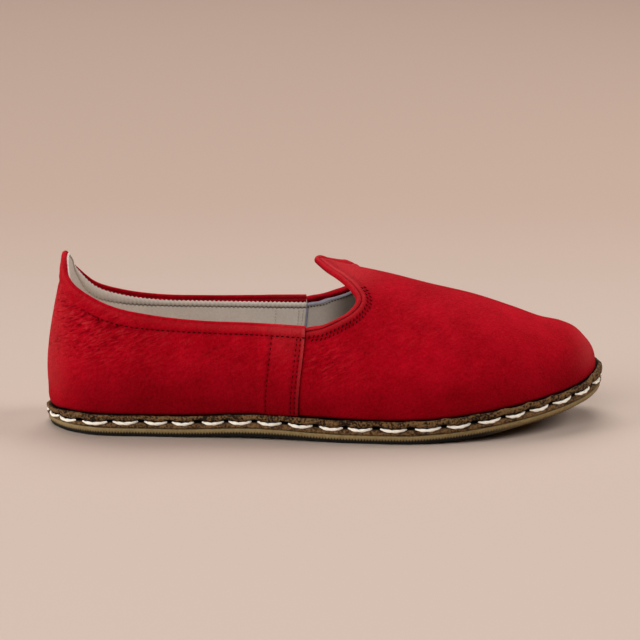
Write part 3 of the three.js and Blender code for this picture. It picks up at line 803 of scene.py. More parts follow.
quarterSpans = 2 * (len(upperForm["quarter"]) - 1)
fineShares = np.linspace(0, 1, 301)
roughPlaces = np.linspace(0, quarterSpans, 4001)
roughRun = runOf(quarterSheet(roughPlaces, np.array([0.55]))[:, 0])
quarterPlaces = np.interp(np.linspace(0, roughRun[-1], quarter["columns"]), roughRun, roughPlaces)
wall = quarterSheet(quarterPlaces, fineShares)[:, ::-1]  # from the collar down
wallNormals = gridNormals(wall, 2)
wallRuns = np.array([runOf(line) for line in wall])
wallSides = np.where(quarterPlaces < quarterSpans / 2, outer, inner)[:, None]
collarRun = runOf(wall[:, 0])
fromPeak = np.abs(collarRun - np.interp(quarterSpans / 2, quarterPlaces, collarRun))


def onWall(drops, offs):
    # points of the quarter at given drops below the collar, moved off the wall
    made = np.zeros(drops.shape + (3,))
    out = np.zeros(drops.shape + (3,))
    for column, drop in enumerate(drops):
        made[column] = readLine(wall[column], wallRuns[column], drop)
        out[column] = unit(readLine(wallNormals[column], wallRuns[column], drop))
    return made + out * offs[..., None], out


def overlapRise(points):
    behind = along(upperForm["quarter"][-1][0]) - points[..., 0] - quarter["overlapLength"]
    return quarter["overlap"] * (1 - smooth(behind, 0, quarter["overlapFade"]))


def buildQuarter():
    q = quarter
    count = q["columns"]
    deep = wallRuns[:, -1:]
    plain = deep + (q["bandDepth"] - deep) * np.linspace(0, 1, q["plainRows"])[None, :]
    band = np.linspace(q["bandDepth"], q["foldHeight"], q["bandRows"])[1:]
    turn = np.linspace(np.pi / 2, 0, q["foldRows"])[1:]
    facing = np.linspace(q["foldHeight"], q["facing"], q["facingRows"])[1:]
    inside = -q["facingInside"]
    middle = inside / 2
    outside = np.concatenate([plain, np.tile(band, (count, 1))], axis=1)
    height = deep - outside  # above the foot
    flat, _ = onWall(outside, 0 * outside)
    away = fromPeak[:, None]
    sag = smooth(flat[:, -1:, 0], along(q["stitchSagFrom"]), along(q["stitchSagUntil"]))
    stitchDrop = q["stitchDrop"] + q["stitchSag"] * sag
    strong = smooth(away, *q["collarSeamFrom"])
    puff = q["proud"] * smooth(outside, stitchDrop + 1.2, stitchDrop - 1.4)
    grooveDeep, grooveWide = q["collarSeam"]
    groove = -grooveDeep * strong * hump(outside, stitchDrop, grooveWide)
    atPeak = 1 - smooth(away, *q["rollUntil"])
    hollowDeep, hollowDrop, hollowWide = q["rollFoot"]
    roll = q["rollRise"] * smooth(outside, q["rollDrop"] + 1, q["rollDrop"] - 1) * atPeak
    roll = roll - hollowDeep * hump(outside, q["rollDrop"] + hollowDrop, hollowWide) * atPeak
    seamGap = np.minimum(runAcross(flat), runAcross(flat[::-1])[::-1])
    belowSeam = smooth(outside, stitchDrop, stitchDrop + 1)
    tabDeep, tabWide = q["tabGroove"]
    tabLine = hump(seamGap, q["tabRow"], tabWide) * belowSeam
    rowDeep, rowWide = q["seamGroove"]
    rowLines = sum(hump(seamGap, gap, rowWide) for gap in q["seamRows"]) * belowSeam
    edgeRound = -q["edgeRound"] * (1 - smooth(seamGap, 0, q["edgeReach"])) ** 2
    off = overlapRise(flat) + puff + groove + footTuck(height) + roll
    off = off - tabDeep * tabLine - rowDeep * rowLines + edgeRound
    off = off + creaseLift(flat, wallSides, q["creases"])
    atHeel = 1 - smooth(flat[..., 0], *map(along, q["heelRoundUntil"]))
    off = off + q["heelRound"] * hump(height, *q["heelRoundAt"]) * atHeel

    def turned(angles, high):  # drops of the fold at its angles
        return np.tile(high * (1 - np.cos(angles)), (count, 1))

    def swung(angles, reach):  # and its distances off the wall
        return np.tile(middle + (reach - middle) * np.sin(angles)[None, :], (count // len(reach), 1))

    turnIn = np.concatenate([turn[::-1][1:], [np.pi / 2]])
    legDrop = np.tile(facing, (count, 1))
    ones = np.ones_like(legDrop)
    drops = np.concatenate([
        outside, turned(turn, q["foldHeight"]), turned(turnIn, q["foldHeight"]), legDrop], axis=1)
    offs = np.concatenate([
        off, swung(turn, off[:, -1:]), swung(turnIn, np.array([[inside]])), inside * ones], axis=1)
    skin, normals = onWall(drops, offs)
    thin = q["thin"]
    slim = q["hide"] + (thin - q["hide"]) * smooth(outside, *q["thinFrom"])
    backHigh = q["foldHeight"] - thin
    backOff = off - slim
    backDrops = np.concatenate([
        outside, thin + turned(turn, backHigh), thin + turned(turnIn, backHigh), legDrop], axis=1)
    backOffs = np.concatenate([
        backOff, swung(turn, backOff[:, -1:]), swung(turnIn, np.array([[inside + thin]])),
        (inside + thin) * ones], axis=1)
    back, _ = onWall(backDrops, backOffs)
    face = np.arange(outside.shape[1])
    sunk = footSink(flat) * (1 - smooth(height, 0, upperForm["sinkReach"]))
    skin[:, face, 2] -= sunk
    back[:, face, 2] -= sunk
    m = quarterMarks
    x = skin[..., 0] + last["length"] / 2
    z = skin[..., 2]
    allOver, inZone = m["wrinkle"]
    wrinkle = allOver + inZone * hump(x, *m["wrinkleAlong"]) * hump(z, *m["wrinkleHigh"])
    wrinkle = wrinkle * smooth(z, *m["wrinkleFrom"]) * (1 - smooth(z, *m["wrinkleUntil"]))
    wrinkle[:, len(face):] = m["wrinkleFold"]
    wrinkle[:, face] *= atLeast(m["wrinkleBand"], smooth(outside, stitchDrop - 1, stitchDrop + 1))
    # painted highlight on the heel's back and below the collar's top, a paler tone at the tab and the front
    # edge
    paleNapAndSheen = m["heelSheen"] * hump(x, 0, m["heelSheenReach"]) * smooth(z, *m["heelSheenFrom"])
    paleNapAndSheen = paleNapAndSheen + m["tabPale"] * smooth(x, *m["tabPaleAlong"]) * smooth(z, *m["tabPaleFrom"])
    collarTopSheen = m["collarTopSheen"] * hump(outside, *m["collarTopSheenAt"])
    paleNapAndSheen[:, face] += collarTopSheen * atLeast(0.35, smooth(x[:, face], *m["collarTopSheenAlong"]))
    # paler along the front edge: partly the raw edge's own tone, partly painted highlight on its bevel
    edgePale = m["edgePale"] * (1 - smooth(seamGap, *m["edgePaleUntil"]))
    paleNapAndSheen[:, face] += edgePale * atLeast(0.4, smooth(z[:, face], *m["edgePaleFrom"]))
    # painted shade towards the foot, weaker at the heel's back, in the crevice at the foot, along the seam
    # grooves, under the fold and on the facing's lower half
    shade = np.zeros_like(paleNapAndSheen)
    footShade = m["footShade"] * (1 - smooth(height, 0, m["footShadeReach"]))
    shade[:, face] = footShade * atLeast(0.25, smooth(x[:, face], *m["footShadeAlong"]))
    shade[:, face] += m["crevice"] * (1 - smooth(height, 0, m["creviceReach"]))
    shade[:, face] += m["seamShade"] * (strong * hump(outside, stitchDrop, 1.0) + tabLine)
    shade[:, face] += m["rowShade"] * rowLines
    inFold = len(face) + len(turn) + np.arange(len(turnIn))
    shade[:, inFold] = m["foldShade"] * np.linspace(0, 1, len(turnIn))[None, :] ** 2
    leg = np.linspace(0, 1, len(facing))
    shade[:, -len(facing):] = m["legShade"] * smooth(leg, *m["legShadeFrom"])[None, :]
    marks = {"wrinkle": wrinkle, "paleNapAndSheen": np.clip(paleNapAndSheen, 0, 1), "shade": np.clip(shade, 0, 1)}
    piece = thickSheet("quarter", skin, back, [nubuck, nubuckCut],
                       ("upper", "collar_binding"), marks, ("start", "end"))
    return piece, skin[:, :outside.shape[1]], normals[:, :outside.shape[1]], outside, stitchDrop


quarterPiece, quarterSkin, quarterOut, quarterDrops, collarStitchDrop = buildQuarter()
print("quarter made:", len(quarterPiece.data.polygons), "faces")

# Vamp: the front of the upper, with a raised band and a zigzag seam round the throat
vamp = {
    "fineColumns": 34,
    "fineReach": 11.0,
    "columns": 170,
    "wallRows": 34,
    "throatRows": 64,
    "hide": 1.0,
    "band": (1.35, 1.15, 0.5),  # middle beyond the rim, width, height
    "zigzag": (3.3, 5.1),  # two rows beyond the rim
    "zigzagGroove": (0.25, 1.5),  # depth, width
    "underRim": 0.4,
    "rimGroove": (0.2, 0.4),
    "creases": [  # side, from heel, height, turn in degrees, length, width, depth
        (outer, 137, 44, 30, 18, 1.2, 0.24),
        (outer, 144, 38, 32, 20, 1.3, 0.22),
        (outer, 150, 31, 30, 18, 1.4, 0.18),
        (outer, 160, 42, 40, 18, 1.6, 0.14),
        (outer, 176, 55, 66, 20, 2.0, 0.16),
        (outer, 186, 50, 60, 22, 2.2, 0.16),
        (outer, 198, 46, 56, 22, 2.4, 0.14),
        (outer, 212, 40, 50, 20, 2.4, 0.1),
        (inner, 140, 42, 30, 18, 1.3, 0.2),
        (inner, 180, 54, 66, 20, 2.0, 0.16),
        (inner, 194, 48, 60, 22, 2.2, 0.14),
    ],
}


# Where the vamp wrinkles, takes painted highlight and takes painted shade; pairs are a middle and a reach, or
# a start and an end
vampMarks = {
    "wrinkle": 0.06,
    "bend": 0.12,  # over the ball of the foot
    "bendAlong": (190, 34),
    "bendHigh": (54, 16),
    "seam": 0.45,  # beside the quarter's edge
    "seamAlong": (140, 17),
    "seamHigh": (38, 14),
    "wrinkleFrom": (18, 36),
    "throatGap": (4, 8),
    # painted highlight on the raised band, the throat's peak and the toe's end
    "bandSheen": 0.24,
    "bandSheenWide": 1.2,
    "peakSheen": 0.36,
    "peakSheenAlong": (148, 16),
    "peakSheenFrom": (68, 77),
    "toeSheen": 0.4,
    "toeSheenAlong": (272, 8),
    "toeSheenFrom": (24, 34),
    # painted shade towards the foot (less at the toe's end), in the crevice, beside the quarter's edge,
    # beside the rim and in the zigzag groove
    "footShade": (0.38, 0.08),  # all along, and more behind the ball
    "footShadeUntil": (140, 180),
    "footShadeReach": 26,
    "toeLight": 0.6,
    "toeLightFrom": (262, 273),
    "crevice": 0.5,
    "creviceReach": 1.0,
    "rimShade": {outer: 0.75, inner: 0.45},
    "zigzagShade": 0.16,
}


def vampSurface():
    v = vamp
    walls = np.linspace(0, 1, v["wallRows"], endpoint=False)
    throats = np.linspace(0, 1, v["throatRows"] + 1)
    spans = len(upperForm["vamp"]) + 1
    rough = np.linspace(0, spans, 1501)
    lines = vampSheet(rough, np.array([0.0, 0.5]), np.linspace(0, 1, 5))
    run = sum(runOf(lines[:, row]) for row in (1, 3, 4, 6)) / 4
    near = np.linspace(0, v["fineReach"], v["fineColumns"], endpoint=False)
    places = np.interp(np.concatenate([near, np.linspace(v["fineReach"], run[-1], v["columns"])]), run, rough)
    sheet = vampSheet(places, walls, throats)
    normals = gridNormals(sheet, 6)
    normals[-1] = unit(normals[-2].mean(axis=0))
    return sheet, normals


vampGrid, vampOut = vampSurface()

# Throat rim: a narrow strip folded over the vamp's edge, with its facing inside
rim = {
    "stations": 420,
    "leg": 2.3,
    "cornerLeg": 1.5,
    "peakLeg": 1.9,
    "facing": 3.4,
    "peakFacing": 2.0,
    "proud": 0.5,
    "farProud": 1.3,  # more on the inner side of the peak, where the rim stands up
    "farLeg": 2.8,  # and reaches further on to the vamp, sloping down
    "inside": 2.5,
    "round": 1.1,
    "thick": 0.55,
    "cornerGap": 0.1,
    "setBack": 1.3,
    "setBackReach": 3.5,
    "under": 40,  # columns of the vamp that strips along the throat may lie on
    "beside": 12,  # a column well inside the leather
    "evenRounds": 4,
    "peakReach": (6, 24),  # from the tip
    "farFrom": (-2, 6),
    "farUntil": (23, 29),
    "cornerReach": (40, 8),  # from the corners
    "edgeDip": 0.3,
    # a paler tone all over, more on the fold's crown as painted highlight; painted shade under the fold and
    # on the facing
    "paleNapAndSheen": (0.06, 0.2),
    "foldShade": 0.9,
    "legShade": 0.85,
}


def throatFrames(count):
    # place, outward normal and direction into the leather, along the throat
    rows = vampGrid.shape[1]
    start = vamp["wallRows"]
    edge = vampGrid[0, start:rows - start]
    normals = vampOut[0, start:rows - start]
    run = runOf(edge)
    wanted = np.linspace(rim["cornerGap"], run[-1] - rim["cornerGap"], count)
    place = readLine(edge, run, wanted)
    out = unit(readLine(normals, run, wanted))
    ahead = unit(np.gradient(place, axis=0))
    into = unit(np.cross(out, ahead))
    beside = readLine(vampGrid[rim["beside"], start:rows - start], run, wanted)
    into = into * np.sign(np.sum(into * (beside - place)))
    fromTip = wanted - run[-1] / 2
    peak = smooth(np.abs(fromTip), *rim["peakReach"])
    return place, out, into, peak, fromTip


def farPeak(fromTip):  # 1 on the inner side of the peak
    return smooth(fromTip, *rim["farFrom"]) * (1 - smooth(fromTip, *rim["farUntil"]))


def rimLegs(frames):
    # how far the rim's outer leg reaches on to the vamp, at each place of the throat
    fromTip = np.abs(frames[4])
    leg = rim["leg"] + (rim["peakLeg"] - rim["leg"]) * (1 - frames[3])
    leg = leg + rim["farLeg"] * farPeak(frames[4])
    cornerFrom, cornerUntil = (fromTip.max() - reach for reach in rim["cornerReach"])
    return leg + (rim["cornerLeg"] - leg) * smooth(fromTip, cornerFrom, cornerUntil)


def stripAlong(frames, depths, offs):
    # a strip that follows the vamp's curve, at given depths into it and distances off it
    place, _, into, _, _ = frames
    rows = slice(vamp["wallRows"], -vamp["wallRows"])
    flat = (place[:, None] + into[:, None] * depths[..., None]).reshape(-1, 3)
    laid, out = layOn(flat, vampGrid[:rim["under"], rows], vampOut[:rim["under"], rows])
    out = out.reshape(depths.shape + (3,))
    out = evened(out, 1, rim["evenRounds"])
    return laid.reshape(depths.shape + (3,)) + out * offs[..., None]


def awayFromThroat(grid):
    # the edge of a sheet under the rim stays inside its fold
    place, _, into, _, _ = throatFrames(600)
    found, gap = nearest(grid.reshape(-1, 3), place)
    push = rim["setBack"] * np.clip(1 - gap / rim["setBackReach"], 0, 1)
    return grid + (into[found] * push[:, None]).reshape(grid.shape)


def buildVamp():
    v = vamp
    frames = throatFrames(900)
    sheet = awayFromThroat(vampGrid)
    found, gap = nearest(sheet.reshape(-1, 3), frames[0])
    leg = rimLegs(frames)[found].reshape(sheet.shape[:2])
    gap = gap.reshape(sheet.shape[:2]) - leg
    centre, width, height = v["band"]
    rows = sheet.shape[1]
    side = np.where(np.arange(rows) < rows / 2, outer, inner)[None, :]
    rimDeep, rimWide = v["rimGroove"]
    besideRim = hump(gap, 0, rimWide)
    underRim = -v["underRim"] * (1 - smooth(gap, -0.5, 0.1)) - rimDeep * besideRim
    zigzagDeep, zigzagWide = v["zigzagGroove"]
    zigzag = hump(gap, sum(v["zigzag"]) / 2, zigzagWide)
    upward = np.swapaxes(sheet, 0, 1)
    depth = np.minimum(runAcross(upward), runAcross(upward[::-1])[::-1]).T
    off = underRim + height * hump(gap, centre, width) - zigzagDeep * zigzag + footTuck(depth)
    off = off + creaseLift(sheet, side, v["creases"])
    skin = sheet + vampOut * off[..., None]
    back = sheet + vampOut * (off - v["hide"])[..., None]
    sunk = footSink(sheet) * (1 - smooth(depth, 0, upperForm["sinkReach"]))
    skin[..., 2] -= sunk
    back[..., 2] -= sunk
    onWallRows = np.minimum(np.arange(rows), np.arange(rows)[::-1])[None, :] < v["wallRows"]
    besideEdge = (1 - smooth(runAcross(sheet), 0.2, 1.0)) * onWallRows
    x = sheet[..., 0] + last["length"] / 2
    z = sheet[..., 2]
    m = vampMarks
    bend = m["bend"] * hump(x, *m["bendAlong"]) * hump(z, *m["bendHigh"])
    besideSeam = m["seam"] * hump(x, *m["seamAlong"]) * hump(z, *m["seamHigh"])
    wrinkle = (m["wrinkle"] + bend + besideSeam) * smooth(z, *m["wrinkleFrom"]) * smooth(gap, *m["throatGap"])
    # painted highlight on the raised band, the throat's peak and the toe's end
    paleNapAndSheen = m["bandSheen"] * hump(gap, centre, m["bandSheenWide"])
    for place in ("peakSheen", "toeSheen"):
        paleNapAndSheen = paleNapAndSheen + m[place] * hump(x, *m[place + "Along"]) * smooth(z, *m[place + "From"])
    # painted shade: towards the foot, lighter at the toe's end, in the crevice at the foot, the quarter
    # edge's shadow, beside the rim and in the zigzag groove
    allAlong, behindBall = m["footShade"]
    footShade = allAlong + behindBall * (1 - smooth(x, *m["footShadeUntil"]))
    footShade = footShade * (1 - m["toeLight"] * smooth(x, *m["toeLightFrom"]))
    shade = footShade * (1 - smooth(depth, 0, m["footShadeReach"]))
    shade = shade + m["crevice"] * (1 - smooth(depth, 0, m["creviceReach"]) + besideEdge)
    rimShade = np.where(side == outer, m["rimShade"][outer], m["rimShade"][inner])
    shade = shade + rimShade * besideRim + m["zigzagShade"] * zigzag
    piece = thickSheet("vamp", skin, back, [nubuck], ("upper",),
                       {"wrinkle": wrinkle, "paleNapAndSheen": np.clip(paleNapAndSheen, 0, 1), "shade": np.clip(shade, 0, 1)})
    return piece, skin


vampPiece, vampSkin = buildVamp()
print("vamp made:", len(vampPiece.data.polygons), "faces")


def buildRim():
    r = rim
    frames = throatFrames(r["stations"])
    share = frames[3][:, None]
    fromTip = frames[4][:, None]
    leg = rimLegs(frames)[:, None]
    facing = r["peakFacing"] + (r["facing"] - r["peakFacing"]) * share
    proud = r["proud"] + r["farProud"] * farPeak(fromTip)
    middle = (proud - r["inside"]) / 2
    turn = np.linspace(0, np.pi, 13)[None, :]
    steps = np.linspace(1, 0, 9)[None, :-1]
    halfWide = (proud + r["inside"]) / 2
    ones = np.ones_like(share)

    def rows(height, wide, sink):
        outDepth = height + sink + (leg - height - sink) * steps
        outOff = middle + wide - (r["edgeDip"] + 0.9 * (proud - r["proud"])) * steps**2
        foldDepth = sink + height * (1 - np.sin(turn)) * ones
        foldOff = (middle + wide * np.cos(turn)) * ones
        inDepth = height + sink + (facing - height - sink) * steps[:, ::-1]
        return (np.concatenate([outDepth, foldDepth, inDepth], axis=1),
                np.concatenate([outOff * ones, foldOff, (middle - wide) * np.ones_like(inDepth)], axis=1))

    skinDepth, skinOff = rows(r["round"], halfWide, 0)
    backDepth, backOff = rows(r["round"] - r["thick"], halfWide - r["thick"], r["thick"])
    skin = stripAlong(frames, skinDepth, skinOff)
    back = stripAlong(frames, backDepth, backOff)
    # painted highlight on the fold's crown, painted shade on its underside and on the facing inside
    paleNapAndSheen = r["paleNapAndSheen"][0] + r["paleNapAndSheen"][1] * hump(skinOff, proud, 0.5)
    turned = np.concatenate([0 * steps, turn, np.pi + 0 * steps], axis=1)
    foldShade = r["foldShade"] * smooth(turned, 0.36 * np.pi, 0.8 * np.pi) * ones
    legShade = r["legShade"] * smooth(skinDepth, 0.25 * facing, 0.6 * facing) * (turned > 0.8 * np.pi)
    shade = foldShade + (legShade - foldShade) * share
    return thickSheet("throatRim", skin, back, [nubuck], ("throat_binding",),
                      {"wrinkle": 0 * skinOff, "paleNapAndSheen": paleNapAndSheen, "shade": shade})


buildRim()
print("throat rim made")

# Lining: cream hide inside, its pinked edge sewn down over the collar's facing, a grey edge at the vamp
lining = {
    "peakEdge": 0.9,
    "heelEdge": 2.3,
    "cornerEdge": 3.4,
    "tooth": 2.2,
    "toothDepth": 0.7,
    "peakStrip": 1.0,
    "heelStrip": 6.0,
    "strip": 3.0,
    "stripPuff": 0.45,
    "stripRows": 16,
    "rows": 18,
    "face": 2.55,
    "rear": 2.0,
    "tapeWide": 1.5,
    "sewnFrom": 20.0,
    "heelEdgeFrom": (8, 45),  # away from the peak
    "cornerEdgeFrom": (85, 150),
    "heelStripFrom": (10, 30),
    "stripFrom": (26, 76),
    "seamTeeth": 1.1,  # the seam follows the teeth
    "overSeam": 1.2,
    "seamWide": 0.5,
    "seamDeep": 0.3,
    "peakLine": 0.2,  # share of the seam's depth left beside the peak
    "fadeReach": 40,
    # painted shade on the lining's wall, along its seam, down the puffed strip and under the vamp; left off
    # at the edges as painted highlight
    "wallShade": 0.16,
    "seamShade": 0.3,
    "stripShade": 0.36,
    "vampShade": (0.42, 0.46),  # at the throat, and more under the vamp
    "vampShadeAlong": (136, 152),
    "tapeBow": (0.25, 0.3),
    "tapeShade": 0.45,
}
liningEdge = (
    lining["peakEdge"]
    + (lining["heelEdge"] - lining["peakEdge"]) * smooth(fromPeak, *lining["heelEdgeFrom"])
    + (lining["cornerEdge"] - lining["heelEdge"]) * smooth(fromPeak, *lining["cornerEdgeFrom"])
)
liningStrip = (
    lining["peakStrip"]
    + (lining["heelStrip"] - lining["peakStrip"]) * smooth(fromPeak, *lining["heelStripFrom"])
    + (lining["strip"] - lining["heelStrip"]) * smooth(fromPeak, *lining["stripFrom"])
)


def buildLining():
    g = lining
    phase = (collarRun / g["tooth"]) % 1
    teeth = g["toothDepth"] * np.abs(2 * phase - 1)
    top = (liningEdge + teeth)[:, None]
    sewn = (liningEdge + liningStrip + g["seamTeeth"] * teeth)[:, None]
    deep = wallRuns[:, -1:] - 0.4
    past = sewn + g["overSeam"]
    strip = top + (past - top) * np.linspace(1, 0, g["stripRows"])[None, :]
    below = deep + (past - deep) * np.linspace(0, 1, g["rows"], endpoint=False)[None, :] ** 0.8
    drops = np.concatenate([below, strip], axis=1)
    inStrip = np.clip((drops - top) / (sewn - top), 0, 1)
    fromSeam = smooth(fromPeak, g["sewnFrom"], g["sewnFrom"] + g["fadeReach"])[:, None]
    besidePeak = atLeast(g["peakLine"], fromSeam)
    line = hump(drops, sewn, g["seamWide"]) * besidePeak
    lift = g["face"] + g["stripPuff"] * np.sin(np.pi * inStrip) ** 0.7 - g["seamDeep"] * line
    face, _ = onWall(drops, -lift)
    rear, _ = onWall(drops, -g["rear"] * np.ones_like(drops))
    # painted shade on the wall, the seam and the strip; kept off near the pinked edge and the heel's peak, as
    # painted highlight
    edgeOn = (1 - smooth(drops - top, 0.2, 1.4)) + (1 - smooth(fromPeak, 20, 56))[:, None] * (drops > sewn)
    shade = g["wallShade"] * besidePeak * (1 - np.clip(edgeOn, 0, 1)) + g["seamShade"] * line
    shade = shade + g["stripShade"] * smooth(inStrip, 0.2, 0.95) * (drops < sewn + 0.3) * besidePeak
    thickSheet("quarterLining", rear, face, [liningHide], ("upper",), {"shade": shade})
    everySecond = slice(None, None, 2)
    grid = awayFromThroat(vampGrid)[everySecond, everySecond]
    normals = vampOut[everySecond, everySecond]
    # painted shade on the vamp's lining, deeper far under the vamp
    light, more = g["vampShade"]
    deepIn = light + more * smooth(grid[..., 0], *map(along, g["vampShadeAlong"]))
    thickSheet("vampLining", grid - normals * (upperForm["wall"] - 0.6), grid - normals * upperForm["wall"],
               [liningHide], ("upper",), {"shade": deepIn})
    frames = throatFrames(300)
    share = frames[3][:, None]
    start = rim["peakFacing"] + (rim["facing"] - rim["peakFacing"]) * share - 0.3
    depths = start + g["tapeWide"] * np.linspace(0, 1, 5)[None, :]
    crown = np.sin(np.linspace(0.15, 0.85, 5) * np.pi)
    throatBow, seamBow = g["tapeBow"]
    bow = rim["inside"] + throatBow * crown[None, :]
    tape = stripAlong(frames, depths, -bow * np.ones_like(depths))
    under = stripAlong(frames, depths, -(rim["inside"] - 0.15) * np.ones_like(depths))
    thickSheet("liningTape", under, tape, [liningTape], ("upper",))
    wallRows = vamp["wallRows"]
    besideSeam = {"seamTapeOuter": slice(1, wallRows - 1), "seamTapeInner": slice(-2, -wallRows, -1)}
    for name, rows in besideSeam.items():
        start = vampGrid[0, rows]
        ahead = unit(vampGrid[4, rows] - start)
        inward = -vampOut[0, rows]
        reach = np.linspace(0.1, g["tapeWide"], 5)[None, :, None]
        lift = (upperForm["wall"] + seamBow * crown)[None, :, None]
        strip = start[:, None] + ahead[:, None] * reach
        shade = np.full(strip.shape[:2], g["tapeShade"])
        thickSheet(name, strip + inward[:, None] * (upperForm["wall"] - 0.3), strip + inward[:, None] * lift,
                   [liningTape], ("upper",), {"shade": shade})


buildLining()
print("lining made")

# Sole: tread, leather, welt and insole; the edges wave with the thick stitches between leather and welt, and
# painted shade darkens holes, dents, the undercut and hidden faces
sole = {
    "steps": 1800,
    "stitches": [  # along the outer side, in millimetres from the heel
        13.3, 26.4, 43.6, 59.3, 74.1, 87.5, 102.1, 115.4, 129.8, 144.9, 159.9,
        174.0, 190.1, 207.0, 222.2, 237.8, 251.8, 265.4, 280.0, 296.2, 314.9,
    ],
    "pitch": 14.8,  # along the inner side
    "stitchInset": 0.55,
    "stitchHeight": 7.05,
    "heelDrop": 1.2,
    "heelDropUntil": 50.0,
    "holeWide": 2.6,
    "fuzz": 0.15,
    "tooth": 1.45,
    "undercutFrom": 250.0,
    "undercutUntil": 212.0,
    "toeCurl": 2.1,  # how far the welt's edge stands up round the toe
    "toeCurlFrom": 266.0,
    "toeReach": 0.8,  # how much further the edges reach there
    "toeReachFrom": 258.0,
    "heelDropFrom": 5.0,
    "waveFrom": (150, 215),  # where the welt's edge starts to wave with the stitches
    "waveLeast": 0.3,
    "ribInset": 4.6,
    "ribThick": 1.2,
}


def toeReach(turns):
    x = planPoint(turns)[:, 0]
    return sole["toeReach"] * smooth(x, along(sole["toeReachFrom"]), along(last["length"] - 2))


def evenTurns(count):
    rough = np.linspace(0, 1, 6001)
    run = runOf(planPoint(rough))
    return np.interp(np.linspace(0, run[-1], count, endpoint=False), run, rough), run[-1]


def heelDrop(points):
    reach = smooth(points[:, 0], along(sole["heelDropFrom"]), along(sole["heelDropUntil"]))
    return sole["heelDrop"] * (1 - reach)


soleTurns, soleAround = evenTurns(sole["steps"])
stitchTurns = np.linspace(0, 1, 6001)
stitchRing = onSole(stitchTurns, sole["stitchInset"] - toeReach(stitchTurns), sole["stitchHeight"])
stitchRing[:, 2] -= heelDrop(stitchRing)
stitchRun = runOf(stitchRing)
outerStops = sole["stitches"]
innerWay = stitchRun[-1] + outerStops[0] - outerStops[-1]
innerStops = np.linspace(outerStops[-1], outerStops[-1] + innerWay, round(innerWay / sole["pitch"]) + 1)
stitchStops = np.concatenate([outerStops, innerStops[1:-1]])
wrapped = np.concatenate([[stitchStops[-1] - stitchRun[-1]], stitchStops, [stitchStops[0] + stitchRun[-1]]])
stitchSpans = (wrapped[2:] - wrapped[:-2]) / 2
soleRun = np.interp(soleTurns, stitchTurns, stitchRun)
phase = np.interp(soleRun, wrapped, np.arange(len(wrapped))) % 1  # 0 at the middle of each stitch
localPitch = np.interp(soleRun, stitchStops, stitchSpans)
hole = hump((phase - 0.5) * localPitch, 0, sole["holeWide"])
arch = 0.5 + 0.5 * np.cos(2 * np.pi * phase)
soleRandom = np.random.default_rng(7)
toothPhase = (np.arange(sole["steps"]) * soleAround / sole["steps"] / sole["tooth"]) % 1
toothWave = np.abs(toothPhase * 2 - 1) - 0.5


def fuzz(size):  # loose fibres of a cut edge, as small shifts along it
    raw = soleRandom.normal(0, 1, sole["steps"])
    return size * (raw + np.roll(raw, 1) + np.roll(raw, -1)) / 2


def soleSlab(name, rows, materials, replaced):
    # rows run from the lower to the upper face: inset, height, shade
    count = sole["steps"]
    rings = [onSole(soleTurns, inset - toeReach(soleTurns), height + 0 * hole) for inset, height, _ in rows]
    step = np.arange(count)
    after = (step + 1) % count
    faces = []
    for row in range(len(rows) - 1):
        low, high = row * count, (row + 1) * count
        faces += np.stack([low + step, low + after, high + after, high + step], axis=-1).tolist()
    lid = (len(rows) - 1) * count
    for place in range(1, count // 2 - 1):
        across4 = [place, place + 1, count - place - 1, count - place]
        faces += [across4[::-1], [lid + corner for corner in across4]]
    for tip in (0, count // 2):
        ends = [tip, (tip + 1) % count, (tip - 1) % count]
        faces += [ends[::-1], [lid + corner for corner in ends]]
    shade = np.clip(np.concatenate([shade + 0 * hole for _, _, shade in rows]), 0, 1)
    return pieceFrom(name, np.concatenate(rings), faces, materials, replaced, {"shade": shade})


